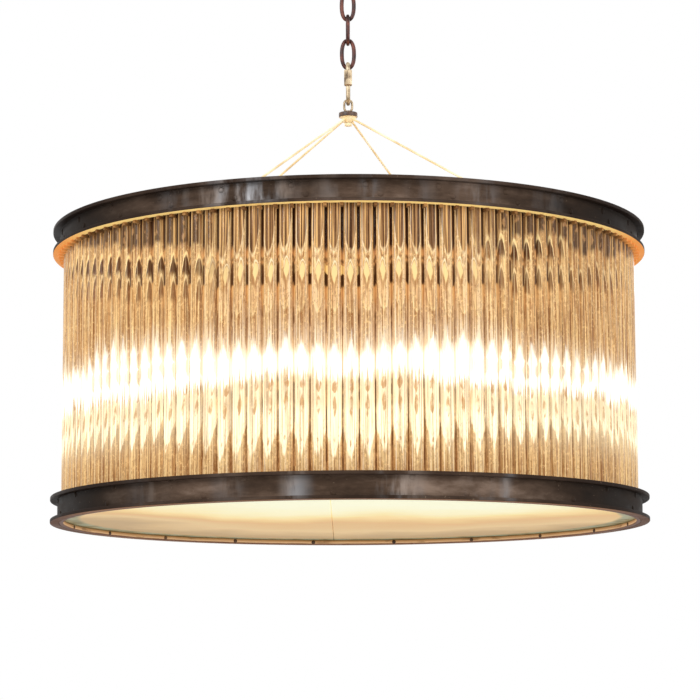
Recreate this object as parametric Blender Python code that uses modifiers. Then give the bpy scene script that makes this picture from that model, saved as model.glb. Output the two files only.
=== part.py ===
"""Round chandelier: a curtain of glass rods between two channel rings, hung by four wires and a chain.

Metres, +Z up. The origin is where the ceiling plate meets the ceiling: the lamp hangs at negative Z.
Azimuth 0 is the side that faces -Y, and azimuths grow towards +X.
"""
import math

import bmesh
import bpy
from mathutils import Matrix, Vector

# General clearances
SEAT = 0.0003  # gap between pieces that touch
OVERRUN = 0.002  # how far a cutter runs past what it cuts
SINK = 0.0015  # how deep shapes of one piece are run into each other before they are joined

# Channel rings
DRUM_H = 0.394
FLANGE_R = 0.400
FLANGE_T = 0.0045
FLANGE_OVERHANG = 0.0096
WEB_T = 0.0025
TOP_RING_H = 0.033
BOTTOM_RING_H = 0.034

# Glass rods
ROD_D = 0.0158
ROD_GAP = 0.0039  # least gap between two rods
ROD_TO_WEB = 0.0024
ROD_TOP_RECESS = 0.014  # how far the rods' tops lie below the drum's top
ROD_PHASE = math.radians(0.3)
SECTORS = 12

# Lower rod rail
RAIL_T = 0.0035
RAIL_LIP = 0.0027  # metal left inside the posts' nuts
RAIL_RECESS = 0.0005  # how far the rail lies below the rim of the bottom ring
RAIL_LEG_T = 0.0025
RAIL_LEG_H = 0.011

# Upper rod comb
COMB_T = 0.0035
COMB_SLOT_PLAY = 0.0003  # each side of a rod
COMB_BEARING = 0.002  # how far the fingers reach under the top ring's flange

# Tie posts
POST_D = 0.006
POST_HOLE_PLAY = 0.0003
POST_ROD_GAP = 0.0014
NUT_ACROSS = 0.010  # corner to corner less the rounding
NUT_H = 0.005
POST_TURNS = (0.0, math.radians(44.0))  # from the arms, repeated every quarter turn

# Lamp frame
ARM_COUNT = 4
ARM_AZIMUTH = math.radians(-34.0)
ARM_W = 0.020
ARM_T = 0.004
ARM_ROD_GAP = 0.0008
FRAME_DISC_R = 0.055
LAMP_R = 0.200

# Diffuser
LEDGE_T = 0.0052
LEDGE_H = 0.0067
PANEL_T = 0.005
PANEL_PLAY = 0.002
PANEL_SEAM_X = -0.024
PANEL_SEAM_GAP = 0.0006

# Junction box, gland and leads
BOX_R = 0.0535
BOX_H = 0.0215
BOX_WALL = 0.0015
TERMINAL_SIZE = Vector((0.040, 0.017, 0.010))
TERMINAL_BARRIER_H = 0.002
TERMINAL_BARRIER_T = 0.0018
TERMINAL_WAYS = 3
GLAND_R = 0.012
GLAND_H = 0.008
GLAND_CAP_R = 0.0095
GLAND_CAP_H = 0.011
GLAND_BORE_R = 0.004
GLAND_STEM_R = 0.008
GLAND_STEM_L = 0.010
LEAD_D = 0.005
LEAD_HOLE_PLAY = 0.0006
LEAD_R = 0.044  # where the leads come up through the disc
LEAD_RISE = 0.010  # height of a lead's arch over the frame

# Lampholders and bulbs
STEM_R = 0.005
STEM_BORE_R = 0.0031
STEM_DROP = 0.036
STEM_COLLAR_R = 0.009
STEM_COLLAR_H = 0.004
HOLDER_R = 0.0195
HOLDER_H = 0.056
HOLDER_SHOULDER = 0.010
HOLDER_BORE_R = 0.0142
HOLDER_BORE_DEPTH = 0.036
BULB_R = 0.030
BULB_L = 0.110
CAP_R = 0.0130
CAP_L = 0.026
BULB_NECK_R = 0.0145
CAP_TIP_R = 0.005
CAP_TIP_L = 0.003

# Suspension
HUB_DROP = 0.161  # from the drum's top up to where the wires leave the hub
HUB_R = 0.01285
HUB_T = 0.0065
HUB_CONE_H = 0.0075
HUB_CONE_TOP_R = 0.0105
HUB_CONE_TIP_R = 0.0065
HUB_BEVEL = 0.0008
WIRE_D = 0.003
WIRE_HOLE_PLAY = 0.0003
WIRE_START_R = 0.009
WIRE_SOCKET = 0.0045  # how deep a wire sits in the hub
LUG_TO_POSTS = 0.0435  # how far the lugs stand inside the posts' circle
LUG_W = 0.012
LUG_L = 0.012
LUG_HOLE_H = 0.012  # wire's hole above the arm
LUG_H = 0.019
LUG_PEG_R = 0.0026
LUG_PEG_TAIL = 0.003
FERRULE_R = 0.0032
FERRULE_L = 0.007
FERRULE_EDGE = 0.0004
EYE_WIRE = 0.0032
EYE_W = 0.0140
EYE_L = 0.0197
EYE_STEM_R = 0.003
EYE_NUT_R = 0.005
EYE_NUT_H = 0.004

# Quick link and chain
QUICK_WIRE = 0.006
QUICK_L = 0.0615
QUICK_W = 0.023
SLEEVE_ACROSS = 0.0108
SLEEVE_L = 0.022
SLEEVE_PLAY = 0.0003
SLEEVE_TOP = 0.0135  # sleeve's upper end below the link's top
GATE_GAP = 0.011
GATE_BELOW_SLEEVE_TOP = 0.003
CHAIN_LINKS = 4
CHAIN_WIRE = 0.005
CHAIN_L = 0.0445
CHAIN_W = 0.0225

# Ceiling plate and its loop
PLATE_R = 0.050
PLATE_T = 0.006
PLATE_EDGE_T = 0.0025
PLATE_BOSS_R = 0.020
PLATE_ROOF = 0.0015  # metal left over the stem's blind hole
PLATE_SCREWS = 3
PLATE_SCREW_R = 0.035
PLATE_SCREW_HOLE_R = 0.0025
LOOP_WIRE = 0.006
LOOP_BORE_R = 0.008
LOOP_STEM_R = 0.004
LOOP_STEM_L = 0.0102  # from the loop's top to the plate
LOOP_COLLAR_R = 0.009
LOOP_COLLAR_H = 0.003
LOOP_STEM_PLAY = 0.0003

# Facets
RODS_PER_FACET = 2
ROUND_STEPS = 12
LAMP_STEPS = 10
PLATE_STEPS = 18
ROD_SIDES = 6
HOLE_SIDES = 6
BOW_STEPS = 6
SHARP_ANGLE = math.radians(50)
ROD_SHARP_ANGLE = math.radians(65)

# Radii that follow from the sizes above
WEB_R = FLANGE_R - FLANGE_OVERHANG
WEB_INNER_R = WEB_R - WEB_T
ROD_LINE_R = WEB_INNER_R - ROD_TO_WEB - ROD_D / 2
ROD_INNER_R = ROD_LINE_R - ROD_D / 2
NUT_R = NUT_ACROSS / math.sqrt(3)
POST_LINE_R = ROD_INNER_R - POST_ROD_GAP - NUT_R
RAIL_INNER_R = POST_LINE_R - NUT_R - RAIL_LIP
LUG_R = POST_LINE_R - LUG_TO_POSTS
RODS_PER_SECTOR = int(math.tau * ROD_LINE_R / (SECTORS * (ROD_D + ROD_GAP)))
ROD_COUNT = SECTORS * RODS_PER_SECTOR
ROD_PITCH = math.tau / ROD_COUNT
FACETS_PER_SECTOR = math.ceil(RODS_PER_SECTOR / RODS_PER_FACET)
RING_STEPS = SECTORS * FACETS_PER_SECTOR
RAIL_OUTER_R = WEB_INNER_R * math.cos(math.pi / RING_STEPS) - SEAT  # inside the ring's facets

# Heights, from the ceiling down
loop_centre = -PLATE_T - LOOP_STEM_L - LOOP_BORE_R - LOOP_WIRE
loop_seat = loop_centre - LOOP_BORE_R + SEAT  # top of the wire that the first link hangs on
chain_top = loop_seat + CHAIN_WIRE
chain_pitch = CHAIN_L - 2 * CHAIN_WIRE - SEAT
chain_bottom = chain_top - (CHAIN_LINKS - 1) * chain_pitch - CHAIN_L
quick_top = chain_bottom + CHAIN_WIRE + SEAT + QUICK_WIRE
quick_bottom = quick_top - QUICK_L
eye_top = quick_bottom + QUICK_WIRE + SEAT + EYE_WIRE
hub_top = eye_top - EYE_L
hub_bottom = hub_top - HUB_T - HUB_CONE_H
wire_start = hub_top - HUB_T - HUB_CONE_H / 2
drum_top = wire_start - HUB_DROP
drum_bottom = drum_top - DRUM_H
top_ring_bottom = drum_top - TOP_RING_H
comb_bottom = top_ring_bottom - SEAT - COMB_T
arm_top = comb_bottom - SEAT
arm_bottom = arm_top - ARM_T
rail_top = drum_bottom + BOTTOM_RING_H - RAIL_RECESS
rail_bottom = rail_top - RAIL_T
ledge_top = drum_bottom + LEDGE_H
panel_bottom = ledge_top + SEAT
holder_top = arm_bottom - STEM_DROP
holder_bottom = holder_top - HOLDER_H
bulb_top = holder_bottom + HOLDER_BORE_DEPTH - CAP_TIP_L


def clear_scene():
    for old in list(bpy.data.objects):
        bpy.data.objects.remove(old, do_unlink=True)


def new_collection(name):
    collection = bpy.data.collections.new(name)
    bpy.context.scene.collection.children.link(collection)
    return collection


def new_material(name, colour, roughness, metallic=0.0, transmission=0.0, glow=0.0):
    material = bpy.data.materials.new(name)
    material.use_nodes = True
    shader = material.node_tree.nodes["Principled BSDF"]
    shader.inputs["Base Color"].default_value = (*colour, 1.0)
    shader.inputs["Roughness"].default_value = roughness
    shader.inputs["Metallic"].default_value = metallic
    shader.inputs["Transmission Weight"].default_value = transmission
    shader.inputs["Emission Color"].default_value = (*colour, 1.0)
    shader.inputs["Emission Strength"].default_value = glow
    material.diffuse_color = (*colour, 1.0)
    return material


clear_scene()
chandelier = new_collection("rod_chandelier")
cutters = new_collection("cutters")

ring_steel = new_material("ring_steel", (0.055, 0.045, 0.040), 0.42, 0.9)
dark_steel = new_material("dark_steel", (0.10, 0.09, 0.08), 0.5, 0.9)
chain_bronze = new_material("chain_bronze", (0.10, 0.05, 0.035), 0.45, 0.9)
zinc = new_material("zinc", (0.62, 0.60, 0.55), 0.35, 1.0)
wire_brass = new_material("wire_brass", (0.75, 0.62, 0.38), 0.35, 1.0)
rod_glass = new_material("rod_glass", (0.95, 0.93, 0.88), 0.03, 0.0, 1.0)
frosted_glass = new_material("frosted_glass", (0.93, 0.90, 0.82), 0.6, 0.0, 0.8)
bulb_glass = new_material("bulb_glass", (1.0, 0.86, 0.62), 0.3, 0.0, 0.3, 3.0)
bakelite = new_material("bakelite", (0.03, 0.028, 0.026), 0.45)
lead_sheath = new_material("lead_sheath", (0.55, 0.45, 0.30), 0.6)
terminal_plastic = new_material("terminal_plastic", (0.85, 0.83, 0.78), 0.5)


def around(radius, azimuth, height=0.0):
    """Point at this distance from the lamp's axis."""
    return Vector((radius * math.sin(azimuth), -radius * math.cos(azimuth), height))


def outward(azimuth):
    """Turn about Z that brings local +X to point outwards at this azimuth."""
    return azimuth - math.pi / 2


class Body:
    """Pieces that move together: an empty on the joint's axis carries them."""

    def __init__(self, name, pivot, parent=None):
        self.pivot = Vector(pivot)
        self.empty = bpy.data.objects.new("body_" + name, None)
        chandelier.objects.link(self.empty)
        self.empty.location = self.pivot
        if parent:
            self.empty.parent = parent.empty
            self.empty.location = self.pivot - parent.pivot

    def take(self, piece, place, turn=0.0):
        """Puts a piece at a place given from the ceiling's origin."""
        piece.parent = self.empty
        piece.location = Vector(place) - self.pivot
        piece.rotation_euler = (0.0, 0.0, turn)
        return piece


def add_piece(name, data, material, sharp_angle=SHARP_ANGLE):
    if not data.materials:
        data.materials.append(material)
    if isinstance(data, bpy.types.Mesh):
        data.shade_smooth()
        data.set_sharp_from_angle(angle=sharp_angle)
    piece = bpy.data.objects.new(name, data)
    chandelier.objects.link(piece)
    return piece


def mesh_of(piece):
    """The finished mesh of a helper, which is then removed."""
    bpy.context.view_layer.update()
    graph = bpy.context.evaluated_depsgraph_get()
    mesh = bpy.data.meshes.new_from_object(piece.evaluated_get(graph), depsgraph=graph)
    mesh.transform(piece.matrix_world)
    bpy.data.objects.remove(piece, do_unlink=True)
    welded = bmesh.new()
    welded.from_mesh(mesh)
    bmesh.ops.remove_doubles(welded, verts=welded.verts, dist=SEAT / 100)
    bmesh.ops.recalc_face_normals(welded, faces=welded.faces)
    welded.to_mesh(mesh)
    welded.free()
    return mesh


def helper(name, data):
    piece = bpy.data.objects.new(name, data)
    cutters.objects.link(piece)
    piece.hide_render = True
    piece.display_type = "WIRE"
    return piece


def combined(base, others, operation):
    """Mesh of the base joined with, or cut by, each of the other meshes."""
    main = helper("base", base)
    tools = [helper("tool", mesh) for mesh in others]
    for tool in tools:
        step = main.modifiers.new("step", "BOOLEAN")
        step.operation = operation
        step.object = tool
    result = mesh_of(main)
    for tool in tools:
        bpy.data.objects.remove(tool, do_unlink=True)
    return result


def joined(base, *others):
    return combined(base, others, "UNION")


def cut(base, *others):
    return combined(base, others, "DIFFERENCE")


def placed(mesh, place, turn=0.0, tilt=0.0):
    """The mesh turned about Y by tilt, about Z by turn, then moved."""
    mesh.transform(Matrix.Translation(place) @ Matrix.Rotation(turn, 4, "Z") @ Matrix.Rotation(tilt, 4, "Y"))
    return mesh


def turned_mesh(profile, steps=ROUND_STEPS):
    """Mesh from a closed profile of (radius, height) points, given down its outer side first."""
    mesh = bpy.data.meshes.new("turned")
    outline = bmesh.new()
    corners = [outline.verts.new((radius, 0.0, height)) for radius, height in profile]
    for start, end in zip(corners, corners[1:] + corners[:1]):
        on_axis = start.co.x == 0 and end.co.x == 0
        if not on_axis:
            outline.edges.new((start, end))
    outline.to_mesh(mesh)
    outline.free()
    piece = helper("turned", mesh)
    screw = piece.modifiers.new("screw", "SCREW")
    screw.steps = screw.render_steps = steps
    screw.use_merge_vertices = True
    screw.merge_threshold = SEAT / 100
    screw.use_normal_calculate = True
    return mesh_of(piece)


def rod_mesh(radius, low, high, sides=ROUND_STEPS):
    """Upright round bar on the Z axis."""
    bar = bmesh.new()
    bmesh.ops.create_cone(
        bar, cap_ends=True, segments=sides, radius1=radius, radius2=radius, depth=high - low,
        matrix=Matrix.Translation((0.0, 0.0, (high + low) / 2)),
    )
    mesh = bpy.data.meshes.new("bar")
    bar.to_mesh(mesh)
    bar.free()
    return mesh


def box_mesh(size, centre):
    box = bmesh.new()
    bmesh.ops.create_cube(box, size=1.0, matrix=Matrix.Translation(centre) @ Matrix.Diagonal((*size, 1.0)))
    mesh = bpy.data.meshes.new("box")
    box.to_mesh(mesh)
    box.free()
    return mesh


def flat_curve(name, outlines, thickness):
    """Flat plate in XY about its middle plane, with the first outline as its rim and the others as holes."""
    curve = bpy.data.curves.new(name, "CURVE")
    curve.dimensions = "2D"
    curve.fill_mode = "BOTH"
    curve.extrude = thickness / 2
    for outline in outlines:
        spline = curve.splines.new("POLY")
        spline.points.add(len(outline) - 1)
        for point, (x, y) in zip(spline.points, outline):
            point.co = (x, y, 0.0, 1.0)
        spline.use_cyclic_u = True
    return curve


def circle(radius, sides, centre=(0.0, 0.0)):
    steps = (math.tau * (index + 0.5) / sides for index in range(sides))
    return [(centre[0] + radius * math.cos(angle), centre[1] + radius * math.sin(angle)) for angle in steps]


def tube_curve(name, points, diameter, cyclic=False, resolution=2):
    """Round wire along these points."""
    curve = bpy.data.curves.new(name, "CURVE")
    curve.dimensions = "3D"
    curve.bevel_depth = diameter / 2
    curve.bevel_resolution = resolution
    curve.use_fill_caps = True
    spline = curve.splines.new("POLY")
    spline.points.add(len(points) - 1)
    for point, place in zip(spline.points, points):
        point.co = (*place, 1.0)
    spline.use_cyclic_u = cyclic
    return curve


def bow(radius, height, start, end, steps=BOW_STEPS):
    """Points of an arc in the XZ plane about (0, height)."""
    angles = (start + (end - start) * index / steps for index in range(steps + 1))
    return [(radius * math.cos(angle), 0.0, height + radius * math.sin(angle)) for angle in angles]


def link_line(length, width, wire):
    """Centre line of a long link that stands in the XZ plane about its middle."""
    radius = (width - wire) / 2
    straight = (length - width) / 2
    return bow(radius, straight, 0.0, math.pi) + bow(radius, -straight, math.pi, math.tau)


def wire_tilt():
    """How far a suspension wire dips below level."""
    rise = wire_start - (arm_top + LUG_HOLE_H)
    return math.atan2(rise, LUG_R - WIRE_START_R)


def arm_azimuths():
    return [ARM_AZIMUTH + math.tau * index / ARM_COUNT for index in range(ARM_COUNT)]


def post_azimuths():
    return [azimuth + turn for turn in POST_TURNS for azimuth in arm_azimuths()]


def corner_radius(clear_radius, sides):
    """Radius to the corners of a hole whose flats leave this radius clear."""
    return clear_radius / math.cos(math.pi / sides)


def hole_line(radius, azimuths, clear_radius, sides=HOLE_SIDES):
    corner = corner_radius(clear_radius, sides)
    return [circle(corner, sides, around(radius, azimuth).xy) for azimuth in azimuths]


def drill_mesh(clear_radius, low, high, sides=HOLE_SIDES):
    return rod_mesh(corner_radius(clear_radius, sides), low, high, sides)


# Ceiling plate and loop


def make_ceiling_plate(body):
    """Domed plate, flat on the ceiling, with a blind hole for the loop's stem and three screw holes."""
    stem_hole = LOOP_STEM_R + LOOP_STEM_PLAY
    profile = [
        (0.0, 0.0), (PLATE_R, 0.0), (PLATE_R, -PLATE_EDGE_T), (PLATE_BOSS_R, -PLATE_T), (stem_hole, -PLATE_T),
        (stem_hole, -PLATE_ROOF), (0.0, -PLATE_ROOF),
    ]
    plate = turned_mesh(profile, PLATE_STEPS)
    drills = []
    for index in range(PLATE_SCREWS):
        drill = rod_mesh(PLATE_SCREW_HOLE_R, -PLATE_T - OVERRUN, OVERRUN, PLATE_STEPS)
        drills.append(placed(drill, around(PLATE_SCREW_R, math.tau * index / PLATE_SCREWS)))
    body.take(add_piece("ceiling_plate", cut(plate, *drills), ring_steel), (0.0, 0.0, 0.0))


def make_ceiling_loop(body):
    """Eye on a stem whose collar bears on the plate from below."""
    ring_radius = LOOP_BORE_R + LOOP_WIRE / 2
    line = bow(ring_radius, 0.0, 0.0, math.tau, 2 * BOW_STEPS)[:-1]
    ring = mesh_of(helper("ring", tube_curve("ring", line, LOOP_WIRE, True)))
    stem_foot = ring_radius
    plate_foot = -PLATE_T - loop_centre
    stem = turned_mesh([
        (0.0, -PLATE_ROOF - SEAT - loop_centre),
        (LOOP_STEM_R, -PLATE_ROOF - SEAT - loop_centre),
        (LOOP_STEM_R, plate_foot - SEAT),
        (LOOP_COLLAR_R, plate_foot - SEAT),
        (LOOP_COLLAR_R, plate_foot - SEAT - LOOP_COLLAR_H),
        (LOOP_STEM_R, plate_foot - SEAT - LOOP_COLLAR_H),
        (LOOP_STEM_R, stem_foot),
        (0.0, stem_foot),
    ])
    body.take(add_piece("ceiling_loop", joined(ring, stem), chain_bronze), (0.0, 0.0, loop_centre))


# Chain and quick link


def make_chain_link(body, index):
    """Links alternate, so each stands square to the one above it."""
    line = link_line(CHAIN_L, CHAIN_W, CHAIN_WIRE)
    curve = tube_curve("chain_link", line, CHAIN_WIRE, True)
    middle = chain_top - index * chain_pitch - CHAIN_L / 2
    quarter_turn = math.pi / 2 if index % 2 == 0 else 0.0
    piece = add_piece(f"chain_link_{index + 1}", curve, chain_bronze)
    body.take(piece, (0.0, 0.0, middle), quarter_turn)


def make_quick_link(body):
    """Open link whose gate lies in one leg, under the sleeve."""
    radius = (QUICK_W - QUICK_WIRE) / 2
    straight = (QUICK_L - QUICK_W) / 2
    gate_top = QUICK_L / 2 - SLEEVE_TOP - GATE_BELOW_SLEEVE_TOP
    line = [(radius, 0.0, gate_top)] + bow(radius, straight, 0.0, math.pi)
    line += bow(radius, -straight, math.pi, math.tau) + [(radius, 0.0, gate_top - GATE_GAP)]
    piece = add_piece("quick_link", tube_curve("quick_link", line, QUICK_WIRE), zinc)
    body.take(piece, (0.0, 0.0, quick_top - QUICK_L / 2), -math.pi / 2)


def make_quick_link_sleeve(body):
    """Hexagonal sleeve that screws along the leg and shuts the gate."""
    across_corners = SLEEVE_ACROSS / math.sqrt(3)
    bore = QUICK_WIRE / 2 + SLEEVE_PLAY
    curve = flat_curve("sleeve", [circle(across_corners, 6), circle(bore, ROUND_STEPS)], SLEEVE_L)
    piece = add_piece("quick_link_sleeve", curve, zinc)
    leg = (QUICK_W - QUICK_WIRE) / 2
    body.take(piece, (0.0, -leg, quick_top - SLEEVE_TOP - SLEEVE_L / 2))


# Hub and suspension wires


def make_hub_eye(body):
    """Eye whose stem goes down through the hub and ends in a nut."""
    line = link_line(EYE_L, EYE_W, EYE_WIRE)
    eye = mesh_of(helper("eye", tube_curve("eye", line, EYE_WIRE, True)))
    stem_top = EYE_WIRE - EYE_L / 2
    seat = -EYE_L / 2 + SEAT
    nut_top = hub_bottom - hub_top - EYE_L / 2 - SEAT
    stem = turned_mesh([
        (0.0, stem_top), (EYE_STEM_R, stem_top), (EYE_NUT_R, seat + EYE_WIRE / 2), (EYE_NUT_R, seat),
        (EYE_STEM_R, seat), (EYE_STEM_R, nut_top), (EYE_NUT_R, nut_top), (EYE_NUT_R, nut_top - EYE_NUT_H),
        (0.0, nut_top - EYE_NUT_H),
    ])
    body.take(add_piece("hub_eye", joined(eye, stem), zinc), (0.0, 0.0, hub_top + EYE_L / 2))


def make_hub_disc(body):
    """Disc with a cone below, in which four slanting sockets hold the wires' ends."""
    bore = EYE_STEM_R + SEAT
    profile = [
        (HUB_R - HUB_BEVEL, 0.0), (HUB_R, -HUB_BEVEL), (HUB_R, -HUB_T), (HUB_CONE_TOP_R, -HUB_T),
        (HUB_CONE_TIP_R, -HUB_T - HUB_CONE_H), (bore, -HUB_T - HUB_CONE_H), (bore, 0.0),
    ]
    disc = turned_mesh(profile)
    socket_radius = WIRE_D / 2 + WIRE_HOLE_PLAY
    sockets = []
    for azimuth in arm_azimuths():
        start = around(WIRE_START_R, azimuth, wire_start - hub_top)
        drill = drill_mesh(socket_radius, -WIRE_SOCKET - SEAT, 2 * OVERRUN)
        sockets.append(placed(drill, start, outward(azimuth), math.pi / 2 + wire_tilt()))
    body.take(add_piece("hub_disc", cut(disc, *sockets), dark_steel), (0.0, 0.0, hub_top))


def make_wires(body):
    """Straight wires from the hub to the lugs, each with a crimped ferrule behind its lug."""
    lug_face = LUG_R + LUG_L / 2 + SEAT - WIRE_START_R
    ferrule_start = (lug_face + FERRULE_R * math.sin(wire_tilt())) / math.cos(wire_tilt())
    wire_radius = WIRE_D / 2
    wire = turned_mesh([
        (0.0, ferrule_start + FERRULE_L), (FERRULE_R - FERRULE_EDGE, ferrule_start + FERRULE_L),
        (FERRULE_R, ferrule_start + FERRULE_L - FERRULE_EDGE), (FERRULE_R, ferrule_start),
        (wire_radius, ferrule_start),
        (wire_radius, -WIRE_SOCKET), (0.0, -WIRE_SOCKET),
    ], 8)
    for index, azimuth in enumerate(arm_azimuths()):
        piece = add_piece(f"suspension_wire_{index + 1}", wire, wire_brass)
        body.take(piece, around(WIRE_START_R, azimuth, wire_start))
        piece.rotation_euler = (0.0, math.pi / 2 + wire_tilt(), outward(azimuth))


def make_wire_lugs(body):
    """Blocks on the arms, pegged through them, with a slanting hole for the wire."""
    block = box_mesh((LUG_L, LUG_W, LUG_H), (0.0, 0.0, SEAT + LUG_H / 2))
    peg = rod_mesh(LUG_PEG_R, -ARM_T - LUG_PEG_TAIL, SEAT + SINK, 8)
    drill = drill_mesh(WIRE_D / 2 + WIRE_HOLE_PLAY, -LUG_L - LUG_H, LUG_L + LUG_H)
    drill = placed(drill, (0.0, 0.0, LUG_HOLE_H), 0.0, math.pi / 2 + wire_tilt())
    lug = cut(joined(block, peg), drill)
    for index, azimuth in enumerate(arm_azimuths()):
        piece = add_piece(f"wire_lug_{index + 1}", lug, dark_steel)
        body.take(piece, around(LUG_R, azimuth, arm_top), outward(azimuth))


# Rings, rails and rods


def channel_profile(height):
    """Section of a channel whose two flanges point outwards, from the top down."""
    return [
        (FLANGE_R, height), (FLANGE_R, height - FLANGE_T), (WEB_R, height - FLANGE_T), (WEB_R, FLANGE_T),
        (FLANGE_R, FLANGE_T), (FLANGE_R, 0.0), (WEB_INNER_R, 0.0), (WEB_INNER_R, height),
    ]


def make_rings(body):
    top = add_piece("top_ring", turned_mesh(channel_profile(TOP_RING_H), RING_STEPS), ring_steel)
    body.take(top, (0.0, 0.0, top_ring_bottom))
    bottom = add_piece("bottom_ring", turned_mesh(channel_profile(BOTTOM_RING_H), RING_STEPS), ring_steel)
    body.take(bottom, (0.0, 0.0, drum_bottom))


def make_diffuser_ledge(body):
    """Flat hoop riveted inside the bottom ring: the diffuser lies on its edge."""
    outer = WEB_INNER_R - SEAT
    inner = outer - LEDGE_T
    profile = [(outer, LEDGE_H), (outer, 0.0), (inner, 0.0), (inner, LEDGE_H)]
    ledge = add_piece("diffuser_ledge", turned_mesh(profile, RING_STEPS), ring_steel)
    body.take(ledge, (0.0, 0.0, drum_bottom))


def make_rod_comb(body):
    """Flat ring with a finger between every two rods; the fingers' ends lie under the top ring."""
    slot = ROD_D / 2 + COMB_SLOT_PLAY
    root = ROD_INNER_R - SEAT
    tip_radius = WEB_R + COMB_BEARING
    tip = math.sqrt(tip_radius ** 2 - slot ** 2)
    rim = []
    for index in range(ROD_COUNT):
        azimuth = ROD_PHASE + index * ROD_PITCH
        out = around(1.0, azimuth).xy
        along = around(1.0, azimuth + math.pi / 2).xy
        for reach, side in ((tip, -slot), (root, -slot), (root, slot), (tip, slot)):
            rim.append(tuple(out * reach + along * side))
    holes = [circle(corner_radius(RAIL_INNER_R, RING_STEPS), RING_STEPS)]
    holes += hole_line(POST_LINE_R, post_azimuths(), POST_D / 2 + POST_HOLE_PLAY)
    comb = add_piece("rod_comb", flat_curve("rod_comb", [rim] + holes, COMB_T), dark_steel)
    body.take(comb, (0.0, 0.0, comb_bottom + COMB_T / 2))


def rail_sector_mesh(span):
    """Angle section bent through one sector: a shelf under the rods and a leg against the ring."""
    leg = RAIL_OUTER_R - RAIL_LEG_T
    section = [
        (RAIL_OUTER_R, 0.0), (RAIL_OUTER_R, -RAIL_T - RAIL_LEG_H),
        (leg, -RAIL_T - RAIL_LEG_H), (leg, -RAIL_T),
        (RAIL_INNER_R, -RAIL_T), (RAIL_INNER_R, 0.0),
    ]
    gap = SEAT / RAIL_INNER_R
    rail = bmesh.new()
    start = Matrix.Rotation(gap / 2, 3, "Z")
    corners = [rail.verts.new(start @ Vector((0.0, -radius, height))) for radius, height in section]
    face = rail.faces.new(corners)
    bmesh.ops.spin(
        rail, geom=[face, *face.edges, *corners], cent=(0.0, 0.0, 0.0), axis=(0.0, 0.0, 1.0),
        angle=span - gap, steps=FACETS_PER_SECTOR, use_duplicate=False,
    )
    bmesh.ops.recalc_face_normals(rail, faces=rail.faces)
    mesh = bpy.data.meshes.new("rail")
    rail.to_mesh(mesh)
    rail.free()
    return mesh


def rods_mesh(height):
    """The rods of one sector, each run a little into the rail's shelf."""
    rods = bmesh.new()
    for index in range(RODS_PER_SECTOR):
        place = around(ROD_LINE_R, (index + 0.5) * ROD_PITCH, (height - SINK) / 2)
        bmesh.ops.create_cone(
            rods, cap_ends=True, segments=ROD_SIDES,
            radius1=ROD_D / 2, radius2=ROD_D / 2, depth=height + SINK,
            matrix=Matrix.Translation(place) @ Matrix.Rotation((index + 0.5) * ROD_PITCH, 4, "Z"),
        )
    mesh = bpy.data.meshes.new("rods")
    rods.to_mesh(mesh)
    rods.free()
    return mesh


def make_rod_sectors(body):
    """Segments of the lower rail, each with its rods and its share of the posts' holes."""
    span = math.tau / SECTORS
    height = drum_top - ROD_TOP_RECESS - rail_top
    hole = POST_D / 2 + POST_HOLE_PLAY
    start = ROD_PHASE - ROD_PITCH / 2
    for index in range(SECTORS):
        begin = start + index * span
        inside = [(azimuth - begin) % math.tau for azimuth in post_azimuths()]
        drills = [
            placed(drill_mesh(hole, -RAIL_T - OVERRUN, OVERRUN), around(POST_LINE_R, azimuth))
            for azimuth in inside if azimuth < span
        ]
        mesh = joined(rail_sector_mesh(span), rods_mesh(height))
        if drills:
            mesh = cut(mesh, *drills)
        sector = add_piece(f"rod_sector_{index + 1:02d}", mesh, rod_glass, ROD_SHARP_ANGLE)
        body.take(sector, (0.0, 0.0, rail_top), begin)


def make_tie_posts(body):
    """Rods with a nut at each end, which hang the rail and the bottom ring from the comb."""
    upper_nut = comb_bottom + COMB_T + SEAT - rail_bottom
    profile = [
        (0.0, upper_nut + NUT_H), (NUT_R, upper_nut + NUT_H), (NUT_R, upper_nut), (POST_D / 2, upper_nut),
        (POST_D / 2, -SEAT), (NUT_R, -SEAT), (NUT_R, -SEAT - NUT_H), (0.0, -SEAT - NUT_H),
    ]
    post = turned_mesh(profile, HOLE_SIDES)
    for index, azimuth in enumerate(post_azimuths()):
        piece = add_piece(f"tie_post_{index + 1}", post, dark_steel)
        body.take(piece, around(POST_LINE_R, azimuth, rail_bottom), outward(azimuth))


def make_lamp_frame(body):
    """Flat disc with four arms up to the comb, drilled for posts, lugs, lampholders, leads and gland."""
    half = ARM_W / 2
    end = math.sqrt((ROD_INNER_R - ARM_ROD_GAP) ** 2 - half ** 2)
    root = math.sqrt(FRAME_DISC_R ** 2 - half ** 2)
    root_angle = math.asin(half / FRAME_DISC_R)
    between = math.tau / ARM_COUNT - 2 * root_angle
    rim = []
    for azimuth in arm_azimuths():
        out = around(1.0, azimuth).xy
        along = around(1.0, azimuth + math.pi / 2).xy
        for reach, side in ((root, -half), (end, -half), (end, half), (root, half)):
            rim.append(tuple(out * reach + along * side))
        for step in range(1, BOW_STEPS):
            turn = azimuth + root_angle + between * step / BOW_STEPS
            rim.append(tuple(around(FRAME_DISC_R, turn).xy))
    arms = arm_azimuths()
    holes = hole_line(POST_LINE_R, arms, POST_D / 2 + POST_HOLE_PLAY)
    holes += hole_line(LUG_R, arms, LUG_PEG_R + SEAT)
    holes += hole_line(LAMP_R, arms, STEM_R + SEAT)
    holes += hole_line(LEAD_R, arms, LEAD_D / 2 + LEAD_HOLE_PLAY)
    holes.append(circle(corner_radius(GLAND_STEM_R + SEAT, ROUND_STEPS), ROUND_STEPS))
    frame = add_piece("lamp_frame", flat_curve("lamp_frame", [rim] + holes, ARM_T), dark_steel)
    body.take(frame, (0.0, 0.0, arm_bottom + ARM_T / 2))


# Diffuser


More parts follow.
